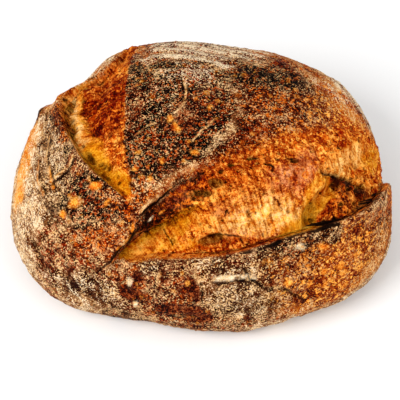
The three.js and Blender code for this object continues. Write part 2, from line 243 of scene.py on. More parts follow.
# %% Lines of the cuts
FRONT_CUT = dict(
    turn=24,
    lip=through([[-104, -60], [-78, -76], [-51, -90], [-20, -96], [13, -93.5], [50, -85.5], [88, -71],
                 [120, -61], [145, -54]]),
    brow=through([[-104, -60], [-90, -59], [-76, -56], [-66, -48], [-39, -39.5], [5, -34], [36, -29.5],
                  [75, -28], [145, -24]]),
    depth=through([[-104, 0], [-92, 6], [-72, 12], [-20, 12], [20, 10.5], [50, 10], [80, 8], [105, 6],
                   [128, 4], [145, 0]]),
    reach=through([[-90, 1.7], [-35, 1.6], [-10, 0.9], [30, 0.8], [60, 0.75], [100, 0.9], [145, 1]]),
    curl=through([[-104, 0], [-80, 1], [-20, 2], [40, 3], [90, 3], [130, 1]]),
    tuck=through([[-100, 0], [-80, 3], [-20, 4], [30, 6], [60, 8], [110, 8], [140, 2]]),
    brow_softness=7,
)
SIDE_CUT = dict(
    turn=-90,
    lip=through([[-112, -50], [-95, -54], [-78, -58], [-65, -62], [-42, -78], [-30, -84], [-15, -84],
                 [0, -79], [20, -67], [41, -53], [62, -43]]),
    brow=through([[-112, -46], [-95, -42], [-60, -44], [-20, -44], [20, -41], [50, -41.5], [62, -43]]),
    depth=through([[-112, 0], [-95, 4], [-60, 8], [-30, 11], [0, 12], [30, 9], [50, 5], [62, 0]]),
    reach=through([[-112, 1], [-60, 1.2], [0, 1.1], [62, 1.3]]),
    curl=through([[-112, 0], [-60, 0], [-35, 4], [-15, 4], [20, 2], [62, 0.5]]),
    tuck=through([[-90, 0], [-50, 3], [-20, 5], [20, 4], [50, 1], [60, 0]]),
    brow_softness=1,
)
CUTS = [FRONT_CUT, SIDE_CUT]
WALL = 3  # how far a cut's wall slopes
LIP_BACK = 7  # how soon a lip's curl dies away on the crust
LIP_FRONT = 1.5  # and towards the crumb


def cut_place(cut, u, v):
    """Where (u, v) lies in a cut, from the map turned by the cut's angle."""
    c, s = np.cos(np.radians(cut["turn"])), np.sin(np.radians(cut["turn"]))
    along, across = u * c + v * s, v * c - u * s
    lip = cut["lip"](along)
    width = np.maximum(cut["brow"](along) - lip, 0.5)
    return dict(along=along, above=across - lip, below=lip + width - across, share=(across - lip) / width,
                toward=(-s, c))


def inside_cut(at):
    """1 in the torn floor and 0 on the crust, with the walls between."""
    return smooth(0, WALL, at["above"]) * smooth(0, WALL, at["below"])


def open_crumb(cut, at):
    """The same with a crisp edge, for colours: a brow may fade more softly."""
    soft = cut["brow_softness"]
    deep = smooth(0.3, 2.5, cut["depth"](at["along"]))
    return smooth(0.2, 1.2, at["above"]) * smooth(-soft, soft, at["below"]) * deep


def cut_relief(cut, at):
    """A floor that drops at the lip and climbs to the brow, and a lip that curls up."""
    climb = smooth(0, cut["reach"](at["along"]), at["share"])
    floor = -cut["depth"](at["along"]) * (1 - climb) * inside_cut(at)
    reach = np.where(at["above"] < 0, LIP_BACK, LIP_FRONT)
    return floor + cut["curl"](at["along"]) * bell(at["above"], reach)


TUCK_FROM, TUCK_TO, TUCK_END = 0.8, 4, 13  # the floor runs back under the lip between these


def cut_tuck(cut, at):
    """How far the floor is drawn back under the lip: most at 4 mm past it, none from 13 mm on."""
    rise = smooth(TUCK_FROM, TUCK_TO, at["above"])
    return cut["tuck"](at["along"]) * rise * (1 - smooth(TUCK_TO, TUCK_END, at["above"]))


# %% [markdown]
# ## Hollows, swells and seams
#
# What is left of the shape is a list of places: cells that tore open, mounds that rose, and the cracks and
# lifted flakes of the crust. Each is an oval or a short line on the map with a height.

# %% Forms on the map
HOLLOWS = [  # name, u, v, half length, half width, turn, depth (below 0, the floor of the cut is raised)
    ("golden bay", -28, -85, 27, 11, 22, 5),
    ("olive bay", 70, -50, 21, 7, 74, 8),
    ("eye by the lip", 8, -89, 9, 4.5, 22, 5),
    ("upper eye", -2, -61, 7, 3.5, 5, 4),
    ("round cell", 9, -53, 5, 4, 0, 4),
    ("ridge cell", 75, -37, 5, 4, 20, 5),
    ("end cell", 94, -31, 4.5, 3.5, 60, 5),
    ("side upper cell", -77, 6, 9, 4, -70, 4),
    ("side lower cell", -54, -29, 13, 5, -58, 4),
    ("far pale bay", 98, -6, 25, 9, 42, 3),
    ("strip's raised end", -74, 40, 16, 11, -72, -6.5),
    ("strip's raised edge", -78, 12, 24, 8, -76, -3),
]
SWELLS = [  # name, u, v, half length, half width, turn, height
    ("risen crumb", 28, -52, 34, 17, 24, 3.5),
    ("fold above the lip", 30, -88, 30, 4, 26, 4),
    ("torn block", 84, -45, 15, 8, 38, 4.5),
    ("end roll", 108, -24, 16, 7, 42, 3),
    ("side slope", -55, 8, 40, 9, 82, 2.5),
    ("flap tip", -104, 36, 12, 9, 125, 3),
    ("sunk back left", -88, 68, 25, 20, 140, -8.5),
    ("torn point", -49, 91, 12, 5, 100, 3),
    ("stretched strip", -74, 2, 34, 6, -66, 5),
    ("ear of the lip", -92, 50, 16, 10, 125, -3.5),
    ("foot of the block", 90, -50, 26, 5, 42, 4.5),
    ("lower back", 0, 97, 60, 34, 0, -1.4),
    ("right shoulder", 110, 42, 50, 30, -58, 1.2),
    ("left cheek", -136, -18, 50, 30, 90, 1.4),
    ("right notch", 126, 2, 16, 9, 60, -4),
    ("front shoulder", 10, -125, 50, 14, 4, 1.5),
    ("crown panel", 0, 8, 40, 34, 30, 1.5),
]
SWELL_WIDTH = 0.62  # width of a swell's bell, as a share of its half sizes
SEAMS = [  # name, height, width, line
    ("front crack", -2, 1.8, [[30, -105], [35, -110], [45, -115], [57, -112], [75, -117]]),
    ("front flake", 1.8, 2.4, [[7, -115], [20, -111], [37, -110]]),
    ("floury edge", 1.0, 2.2, [[-5, -105], [-3, -115], [0, -125], [0, -137]]),
    ("left flake", 2, 3, [[-95, -12], [-92, -25], [-88, -38], [-80, -55]]),
    ("left fold", -0.8, 3.5, [[-108, -58], [-105, -72], [-106, -84], [-111, -97]]),
    ("peeled edge", 1.2, 2.2, [[-71, -18], [-73, -25], [-80, -29], [-86, -33]]),
    ("base crack", -0.6, 2, [[14, -140], [30, -134], [46, -131]]),
]


def share_out(u, v, middle, long, wide, turn):
    """Distance from an oval's middle as a share of its half sizes: 1 on its edge."""
    c, s = np.cos(np.radians(turn)), np.sin(np.radians(turn))
    du, dv = u - middle[0], v - middle[1]
    return np.hypot((du * c + dv * s) / long, (dv * c - du * s) / wide)


def beside(line, u, v):
    """Signed distance from a line of points, positive on its left, and the share run along it."""
    line = np.array(line, float)
    best = np.full(np.shape(u), np.inf)
    run, side = np.zeros(np.shape(u)), np.ones(np.shape(u))
    lengths = np.hypot(*(line[1:] - line[:-1]).T)
    starts = np.concatenate([[0], np.cumsum(lengths)])
    for (u0, v0), (u1, v1), start, length in zip(line[:-1], line[1:], starts, lengths):
        du, dv = (u1 - u0) / length, (v1 - v0) / length
        t = np.clip((u - u0) * du + (v - v0) * dv, 0, length)
        away = np.hypot(u - u0 - t * du, v - v0 - t * dv)
        nearer = away < best
        best = np.where(nearer, away, best)
        run = np.where(nearer, (start + t) / starts[-1], run)
        side = np.where(nearer, np.sign(du * (v - v0) - dv * (u - u0)), side)
    return best * side, run


# %% [markdown]
# ## The burnt ledge
#
# Over the golden bay the old crust was undermined: it ends in a grey edge, then a burnt band, and then a
# rim that hangs over the crumb. It is made like a lip: high on one side of a line, and on the other side
# dropping away and tucked back under.

# %% Ledges
LEDGES = [  # line with the high side on its left, height behind, drop in front, tuck
    dict(name="burnt ledge", high=3, back=6, drop=5, tuck=7, fade=0.14,
         line=[[-70, -97], [-62, -94], [-57, -89], [-50, -85], [-45, -80], [-35, -79], [-25, -75], [-19, -71],
               [-10, -70], [-1, -69]]),
    dict(name="grey edge", high=1.6, back=5, drop=1.0, tuck=1.5, fade=0.2,
         line=[[-44, -70], [-37, -67], [-30, -64], [-20, -56], [-15, -50], [-5, -45], [0, -41], [10, -31],
               [20, -27]]),
]
LEDGE_EDGE = 0.8  # mm on each side of the line over which a ledge ends
DIP_FROM, DIP_FULL, DIP_LEAVES, DIP_END = 0.3, 3, 5, 16  # mm in front of the line
DRAW_FROM, DRAW_FULL, DRAW_END = 0.6, 3.5, 13  # the same for how far it is drawn under
DRAWN_TO = (-0.35, 0.9)  # direction on the map in which it goes


def ledge_form(ledge, u, v):
    """Height of a ledge, and how far its front is drawn back towards the high side."""
    away, run = beside(ledge["line"], u, v)
    ends = smooth(0, ledge["fade"], run) * smooth(1, 1 - ledge["fade"], run)
    behind = ledge["high"] * bell(away, ledge["back"]) * smooth(-LEDGE_EDGE, LEDGE_EDGE, away)
    front = -away
    dip = -ledge["drop"] * smooth(DIP_FROM, DIP_FULL, front) * (1 - smooth(DIP_LEAVES, DIP_END, front))
    draw = ledge["tuck"] * smooth(DRAW_FROM, DRAW_FULL, front) * (1 - smooth(DRAW_FULL, DRAW_END, front))
    return (behind + dip) * ends, draw * ends


# %% [markdown]
# ## Grain
#
# The solid stops at the forms above. The dressed loaf adds what a hand would feel: floury crackle and
# blisters on the crust, the faint rings of the basket, and strands, webs and pores in the torn crumb. A
# web is noise folded at its middle, which leaves sharp ridges round soft hollows, as torn dough has.

# %% Caves in the crumb
CAVES = [  # u, v, half length, half width, turn, depth
    (1, -60, 7.5, 2.7, 4, 5), (9.5, -52, 4.2, 3.4, 0, 5), (8, -88.5, 9.5, 3.6, 18, 5.5),
    (75, -36, 3.8, 2.8, 20, 5), (94, -31, 2.8, 2.2, 60, 4), (66, -63, 2.0, 1.6, 0, 3.5),
    (67, -44, 1.0, 0.8, 0, 2), (63, -52, 1.0, 0.8, 0, 2), (18, -38, 2.4, 1.2, 10, 3),
    (12, -44, 1.6, 1.0, 0, 2.5), (28, -31, 2.0, 1.2, 0, 3), (36, -33, 1.3, 0.8, 0, 2),
    (50, -27, 2.6, 1.1, 0, 3), (59, -20, 1.4, 0.9, 0, 2), (70, -27, 1.2, 0.8, 0, 2),
    (22, -42, 1.0, 0.7, 0, 2), (-3, -50, 1.6, 0.9, 30, 2), (16, -70, 1.8, 1.0, 60, 2),
    (84, -36, 2.0, 1.4, 30, 3), (88, -44, 1.8, 1.2, 50, 3), (80, -47, 2.0, 1.3, 40, 3),
    (103, -28, 1.6, 1.0, 45, 3), (-79, 10, 3.4, 1.8, -10, 4), (-77, 0, 5, 2.0, -70, 3),
    (-66, -14, 2.2, 1.2, -60, 2), (-60, -24, 4.5, 1.8, -60, 3), (-52, -38, 2.4, 1.2, -60, 2),
    (-72, 18, 1.4, 1.0, 0, 2),
]
CAVE_RIM = 0.9  # mm that the rim of a cave stands up
FULL_DEPTH = 4  # mm; a shallower cave has a lower rim, and a shallower cleft is less dark


def caves(u, v, points):
    """Depth of the caves, with steep uneven walls and a raised rim, and a mask of their insides for painted
    shade, darkest on the side from which the crumb hangs over."""
    depth, inside = np.zeros_like(u), np.zeros_like(u)
    uneven = 1 + 0.3 * noise(points, 3.2, 46) + 0.2 * noise(points, 1.6, 47)
    for mu, mv, long, wide, turn, deep in CAVES:
        out = share_out(u, v, (mu, mv), long, wide, turn) * uneven
        rim = CAVE_RIM * bell(out - 1.3, 0.22) * min(1, deep / FULL_DEPTH)
        depth = np.maximum(depth, deep * smooth(1.05, 0.45, out)) - rim
        # painted shade is darkest towards the side that hangs over
        roof_shade = smooth(-0.8, 0.6, (v - mv) / wide)
        inside = np.maximum(inside, smooth(1.1, 0.7, out) * (0.25 + 0.75 * roof_shade))
    return depth, inside


# %% Clefts in the crumb
CLEFTS = [  # depth, half width, line
    (5, 1.5, [(64, -72), (73, -65), (80, -60), (92, -49), (104, -38), (114, -28), (122, -20)]),
    (1.4, 1.4, [(-66, -95), (-58, -90), (-50, -85), (-44, -81), (-34, -79), (-24, -75), (-14, -71)]),
    (3, 1.6, [(62, -31), (72, -30), (84, -31), (96, -32)]),
]


def clefts(u, v, points):
    """Depth of the clefts: a bell across each line, uneven along it; and painted shade at their bottoms."""
    depth, shaded_bottom = np.zeros_like(u), np.zeros_like(u)
    sway = 0.9 * noise(points, 5, 56)
    for deep, half_width, line in CLEFTS:
        away, run = beside(line, u + sway, v - sway)
        cleft = bell(away, half_width / 1.5) * smooth(0, 0.15, run) * smooth(1, 0.9, run)
        depth = np.maximum(depth, deep * cleft)
        shaded_bottom = np.maximum(shaded_bottom, smooth(0.35, 0.85, cleft) * min(1, deep / FULL_DEPTH))
    return depth, shaded_bottom


# %% Creases in the crust
FOLD_LENGTH, FOLD_PITCH = 16, 3.4  # mm along a crease, and from one to the next
FOLDED = [  # u, v, half length, half width, turn of the ovals with creases
    (-92, -2, 44, 13, -66), (-112, 4, 40, 14, -70), (-96, -104, 40, 16, -36),
]


def folds(u, v, at, points):
    """Creases that run along the side cut, as where a skin of dough slid: long thin noise, folded at 0."""
    where = np.zeros_like(u)
    for mu, mv, long, wide, turn in FOLDED:
        where = np.maximum(where, smooth(1.2, 0.6, share_out(u, v, (mu, mv), long, wide, turn)))
    sway = 0.5 * noise(points, 9, 48)
    crease = np.abs(flat_noise(at["along"] / FOLD_LENGTH + 9, at["above"] / FOLD_PITCH + sway))
    return (0.4 - crease) * 2 * where * (at["above"] < 0)


# %% Lumps, rings and webs
LUMPS = dict(size=34, high=1.2, u=3.7, v=9.1)  # u and v shift the pattern
SMALL_LUMPS = dict(size=16, high=0.54)
RING_MIDDLE = (-16, 4)
RING_PITCH = 10.5
RINGS_FROM, RINGS_FULL = 30, 46  # mm from their middle


def lumps(u, v):
    """Slow unevenness of the dough: two layers of flat noise."""
    coarse = flat_noise(u / LUMPS["size"] + LUMPS["u"], v / LUMPS["size"] + LUMPS["v"])
    fine = flat_noise(u / SMALL_LUMPS["size"], v / SMALL_LUMPS["size"])
    return LUMPS["high"] * coarse + SMALL_LUMPS["high"] * fine


def basket_rings(u, v, points):
    """Waves around one place, as the coiled cane leaves them: 1 on a crest and -1 between."""
    away = np.hypot(u - RING_MIDDLE[0], v - RING_MIDDLE[1]) + 1.6 * noise(points, 14, 70)
    return np.cos(2 * np.pi * away / RING_PITCH) * smooth(RINGS_FROM, RINGS_FULL, away)


def web(points, size, draw):
    """Sharp ridges round soft hollows, mostly from -0.8 to 0.3: noise folded at 0, in two sizes."""
    ridge = 1 - 2 * np.abs(noise(points, size, draw)) - 0.5 * np.abs(noise(points, size / 2.1, draw + 1))
    return ridge - 0.45


# %% [markdown]
# ## What is seen, and from where
#
# A form that stands up or lies deep hides what is behind it. The regions of colour below were set out as
# they look from one side, so each place's line of sight is followed to the plain loaf, and colours and
# caves are looked up where it arrives. The line has a fixed direction, from the front and from above, which
# is also the direction of the camera at the end. It is worked out once and kept with the mesh, so the
# colours stay on the bread when the loaf is turned. Nine places in ten move by less than 3 mm. A few, deep
# in the cuts and on the shoulder at the back left, move by 10 to 28 mm.

# %% The place that a point seems to have
EYE_LEVEL = np.radians(52)  # how steeply the loaf is looked down on
TO_EYE = np.array([0, -np.cos(EYE_LEVEL), np.sin(EYE_LEVEL)])
SIGHT_ROUNDS, SIGHT_STEP, LONGEST_STEP = 6, 0.5, 9  # steps towards what is seen, and mm
SIGHT_HEIGHTS = (-18, 9)  # mm, past which a height counts no further
LEAST_FACING = 0.15  # how squarely the plain loaf has to face the eye
TINY = 1e-9  # keeps a division from failing


def dot(a, b):
    """Sum of the products of two lists of vectors, one by one."""
    return np.sum(a * b, axis=-1)


def seen_place(u, v, height):
    """Where on the plain loaf a place seems to lie, for an eye that looks down from the front. The line of
    sight through the place is followed to the plain loaf in a few rounds, each along the flat that touches
    it there. On the far side, which that eye can't see, the place stays what it is."""
    outward = plain_normal(u, v)
    place = plain(u, v) + outward * np.clip(height, *SIGHT_HEIGHTS)[..., None]
    seen_u, seen_v = u, v
    for _ in range(SIGHT_ROUNDS):
        here = plain(seen_u, seen_v)
        along_u = (plain(seen_u + SIGHT_STEP, seen_v) - here) / SIGHT_STEP
        along_v = (plain(seen_u, seen_v + SIGHT_STEP) - here) / SIGHT_STEP
        normal = np.cross(along_u, along_v)
        gap = place - here
        facing = np.maximum(normal @ TO_EYE, LEAST_FACING * np.linalg.norm(normal, axis=-1) + TINY)
        slide = gap - (dot(gap, normal) / facing)[..., None] * TO_EYE
        uu, uv, vv = dot(along_u, along_u), dot(along_u, along_v), dot(along_v, along_v)
        su, sv = dot(slide, along_u), dot(slide, along_v)
        whole = uu * vv - uv * uv + TINY
        step_u, step_v = (vv * su - uv * sv) / whole, (uu * sv - uv * su) / whole
        shorter = np.minimum(1, LONGEST_STEP / (np.hypot(step_u, step_v) + TINY))
        seen_u, seen_v = seen_u + shorter * step_u, seen_v + shorter * step_v
    edge = np.where(height < 0, -0.1, 0.1)
    share = smooth(edge, edge + 0.25, outward @ TO_EYE)
    return u + share * (seen_u - u), v + share * (seen_v - v)


# %% [markdown]
# ## All forms together
#
# Now the forms are added up for a list of places: first those that the solid has too, then the grain that
# only the dressed loaf has. Each step also keeps a mask of what it made, because the colours follow the
# same masks: a crack and a cave get painted shade, black and olive, and a blister is pale.

# %% Forms of the cuts
SMOOTH_BAYS = [  # u, v, half length, half width, turn: here the crumb tore open like silk
    (-28, -85, 32, 12, 20), (66, -51, 18, 8, 82), (59, -67, 14, 6, 50), (-70, -4, 34, 7, -66),
]
SILKY = 0.85  # share of the roughness that a smooth bay loses


def cut_forms(u, v, points, places):
    """What both cuts do: height, how far the floors are tucked back, and masks of the torn floor and, with
    a ragged edge, of the crumb."""
    height, torn, crumb = np.zeros_like(u), np.zeros_like(u), np.zeros_like(u)
    shift_u, shift_v = np.zeros_like(u), np.zeros_like(u)
    ragged = 1.0 * noise(points, 6, 90) + 0.8 * noise(points, 2.2, 91)
    for cut, at in zip(CUTS, places):
        torn = np.maximum(torn, inside_cut(at))
        crumb = np.maximum(crumb, open_crumb(cut, dict(at, below=at["below"] + ragged)))
        height = height + cut_relief(cut, at)
        tuck = cut_tuck(cut, at)
        shift_u = shift_u - tuck * at["toward"][0]
        shift_v = shift_v - tuck * at["toward"][1]
    return height, shift_u, shift_v, torn, crumb


def bare_share(u, v, places):
    """How far a place belongs to the torn crumb rather than to the crust: 0.5 where the two skins cross."""
    share = np.zeros_like(u)
    for cut, at in zip(CUTS, places):
        deep = smooth(0.5, 4, cut["depth"](at["along"]))
        share = np.maximum(share, smooth(1.2, 4.2, at["above"]) * smooth(-2.5, 1.5, at["below"]) * deep)
    return share


# %% Single forms
def single_forms(u, v, points, torn):
    """Height of all swells, hollows and seams, and a mask of painted shade along the seams that are cracks.
    """
    height, crack = np.zeros_like(u), np.zeros_like(u)
    for _, mu, mv, long, wide, turn, high in SWELLS:
        height = height + high * bell(share_out(u, v, (mu, mv), long, wide, turn), SWELL_WIDTH)
    uneven = 1 + 0.18 * noise(points, 6, 44)
    for _, mu, mv, long, wide, turn, deep in HOLLOWS:
        out = share_out(u, v, (mu, mv), long, wide, turn) * uneven
        height = height - deep * np.maximum(1 - out**2, 0) * torn
    sway = 0.8 * noise(points, 5, 40)
    for _, high, wide, line in SEAMS:
        away, _ = beside(line, u + sway, v - sway)
        height = height + high * bell(away, wide / 2)
        if high < 0:
            crack = np.maximum(crack, bell(away, wide / 3) * min(1, -high / 2))
    return height, crack


def ledge_forms(u, v, points):
    """Height of both ledges on uneven lines, and how far their fronts are drawn under."""
    height, draw = np.zeros_like(u), np.zeros_like(u)
    sway = 1.2 * noise(points, 7, 50) + 0.6 * noise(points, 2.6, 51)
    for ledge in LEDGES:
        high, drawn = ledge_form(ledge, u, v + sway)
        height, draw = height + high, draw + drawn
    return height, draw * DRAWN_TO[0], draw * DRAWN_TO[1]


# %% Grain of the crumb and of the crust
CUTS_MEET = -46  # u between the crumb of the two cuts
CRAGS = dict(size=6.5, high=1.1)
CRUMB_RELIEF = dict(web=1.3, grain=0.4, strand=0.3, pore=1.4, pinhole=0.5)  # mm, the last two inwards
CRUST_RELIEF = dict(crackle=0.55, blister=0.55, rings=0.3, fold=0.7)  # mm
CAVE_CALM = 0.6  # share of the relief that the inside of a cave loses
FOOT_FADE = 16  # relief dies away over this distance to the flat base


def along_nearest_cut(u, places):
    """Distance along the nearer cut and above its lip: the strands of the crumb run that way."""
    front = u > CUTS_MEET
    return [np.where(front, places[0][name], places[1][name]) for name in ("along", "above")]


def crumb_grain(u, v, points, along, above, seen):
    """Torn crumb: crags, a web, strands and pores, all calmer in the smooth bays. Also the strands and the
    pores alone."""
    calm = np.zeros_like(u)
    for mu, mv, long, wide, turn in SMOOTH_BAYS:
        calm = np.maximum(calm, smooth(1.1, 0.8, share_out(*seen, (mu, mv), long, wide, turn)))
    strand = flat_noise(along / 1.7, above / 11) + 0.6 * flat_noise(along / 0.9 + 5, above / 6)
    pore = beads(points, 4.6, (0.5, 2.2), 20) * (1 - 0.6 * calm)
    pinhole = beads(points, 2.1, (0.2, 0.7), 24)
    crags = CRAGS["high"] * flat_noise(u / CRAGS["size"], v / CRAGS["size"])
    high = CRUMB_RELIEF
    torn_web = high["web"] * web(points, 5.5, 10) + high["grain"] * grain(points, 2.2, 14, 2)
    torn_web = torn_web + high["strand"] * strand
    holes = high["pore"] * pore + high["pinhole"] * pinhole
    return crags + (1 - SILKY * calm) * torn_web - holes, strand, np.maximum(pore, 0.7 * pinhole)


def loaf_form(u, v):
    """Everything about the places (u, v): height over the plain loaf, shift over the map, and the masks
    that the colours use."""
    points = plain(u, v)
    places = [cut_place(cut, u, v) for cut in CUTS]
    cut_height, cut_u, cut_v, torn, crumb = cut_forms(u, v, points, places)
    single_height, crack = single_forms(u, v, points, torn)
    ledge_height, ledge_u, ledge_v = ledge_forms(u, v, points)
    height = lumps(u, v) + cut_height + single_height + ledge_height
    shift = cut_u + ledge_u, cut_v + ledge_v
    seen = seen_place(u + shift[0], v + shift[1], height)
    along, above = along_nearest_cut(u, places)
    rough, strand, pore = crumb_grain(u, v, points, along, above, seen)
    cave_depth, cave = caves(*seen, points)
    cleft_depth, cleft = clefts(*seen, points)
    inside = rough * (1 - CAVE_CALM * cave) - cave_depth - cleft_depth
    crust = dict(crackle=grain(points, 3.2, 30), blister=beads(points, 6.5, (0.9, 3.0), 60),
                 rings=basket_rings(u, v, points), fold=folds(u, v, places[1], points))
    skin = sum(high * crust[name] for name, high in CRUST_RELIEF.items())
    height = (height + skin * (1 - crumb) + inside * torn) * smooth(0, FOOT_FADE, REACH - np.hypot(u, v))
    crust["blister"] = crust["blister"] * (1 - crumb)
    return dict(
        crust, points=points, height=height, shift=shift, seen=seen, crumb=crumb, crack=crack,
        bare=bare_share(u, v, places), fibre=np.stack([along, above, np.zeros_like(u)], axis=-1),
        strand=strand, pore=pore * crumb, cave=cave * crumb, cleft=cleft * crumb)


# %% [markdown]
# ## Two skins
#
# The torn crumb needs far finer grain than the floury crust. One mesh would have to be fine all over, so
# the loaf gets a skin of crust, closed all round, and a skin of crumb for each cut, twice as fine along it
# and three times as fine across.
# Both follow the same heights. Inside a cut the crust runs a little below them and outside it the crumb
# does, so that they cross at the cut's edge, and the crumb's border is buried.

# %% Placing a skin
BURIED = 2.4  # mm that the hidden one of two skins lies below


def skin_places(u, v, form, buried):
    """The plain loaf at the shifted place, plus the height along its outward direction, less what is
    buried."""
    moved_u, moved_v = u + form["shift"][0], v + form["shift"][1]
    height = form["height"] - BURIED * buried
    places = plain(moved_u, moved_v) + plain_normal(moved_u, moved_v) * height[:, None]
    return places - np.array([*BOX_MIDDLE, 0])


# %% [markdown]
# ## A grid over the map
#
# The map is round, but a mesh is easiest as a grid. A square grid can be laid over a disc ring by ring,
# each square ring becoming a circle. That keeps the faces nearly square, without the needle faces that a
# polar grid has at its pole. The rings lie about 1 mm apart on top and further apart below the belly, and
# near a lip the places move together, because a curled edge needs more of them.

# %% Grid of the crust
GRID = 316  # places along each side of the square
RING_MAIN = 150  # mm that the rings would cover if they were even
RING_GROWTH = 14  # how late the rings begin to spread
HAIR = 1e-6  # mm


def disc_grid(count):
    """The square grid laid over the disc: the ring is the larger of |x| and |y|, and the angle runs evenly
    along each side of the square."""
    line = np.linspace(-1, 1, count)
    x, y = np.meshgrid(line, line)
    wide = np.abs(x) >= np.abs(y)
    safe_x, safe_y = np.where(wide, x, 1), np.where(wide, 1, y)
    angle = np.where(wide, np.pi / 4 * y / safe_x, np.pi / 2 - np.pi / 4 * x / safe_y)
    ring = np.where(wide, x, y)
    reach = np.abs(ring)
    arc = RING_MAIN * reach + (REACH - RING_MAIN) * reach**RING_GROWTH
    sign = np.sign(ring)
    return sign * arc * np.cos(angle), sign * arc * np.sin(angle)


def draw_together(u, v, cut, pull=0.45, width=14):
    """Moves places towards a cut's lip by the pull times their distance, fading as a bell."""
    at = cut_place(cut, u, v)
    strength = pull * np.exp(-((at["above"] / width) ** 2)) * smooth(0, 3, cut["depth"](at["along"]))
    strength = strength * smooth(0, 40, REACH - np.hypot(u, v))
    step = -strength * at["above"]
    return u + step * at["toward"][0], v + step * at["toward"][1]


map_u, map_v = [values.ravel() for values in disc_grid(GRID)]
for cut in CUTS:
    map_u, map_v = draw_together(map_u, map_v, cut)
crust_form = loaf_form(map_u, map_v)
crust_points = skin_places(map_u, map_v, crust_form, smooth(0.5, 1, crust_form["bare"]))
crust_points[np.hypot(map_u, map_v) > REACH - HAIR, 2] = 0
low, high = crust_points.min(axis=0).round(1), crust_points.max(axis=0).round(1)
print(f"{len(crust_points)} places on the crust, from {low} to {high} mm")

# %% Grids of the crumb
FROM_LIP, PAST_BROW = 1.4, 3.5  # mm from the lip to the first row of places, and past the brow to the last
LEAST_WIDTH = 2  # mm that a crumb's skin is wide where its cut closes


def crumb_grid(cut, start, end, count_along, count_across):
    """Places over a cut: even steps along it, and even shares of the way from its lip to its brow."""
    along = np.linspace(start, end, count_along)
    lip, brow = cut["lip"](along) + FROM_LIP, cut["brow"](along) + PAST_BROW
    share = np.linspace(0, 1, count_across)[:, None]
    across = lip + share * np.maximum(brow - lip, LEAST_WIDTH)
    c, s = np.cos(np.radians(cut["turn"])), np.sin(np.radians(cut["turn"]))
    return (along * c - across * s).ravel(), (along * s + across * c).ravel()


# %% [markdown]
# ## What lies where
#
# The colours of bread are one series: cream crumb, straw, gold, amber, rust, brown, and black where it
# burnt, with flour lying over it in a paler grey or cream. What changes from place to place is which of
# them is on top. So each kind of surface is a ground colour, the colour of the spots on it, and five
# shares: how much of it is spots, how much has flecks of flour or a thin film of it, how much is cracked
# black, and how unevenly it is baked. Each region is an oval or a band on the map, and they are laid on one
# after the other like washes of paint.

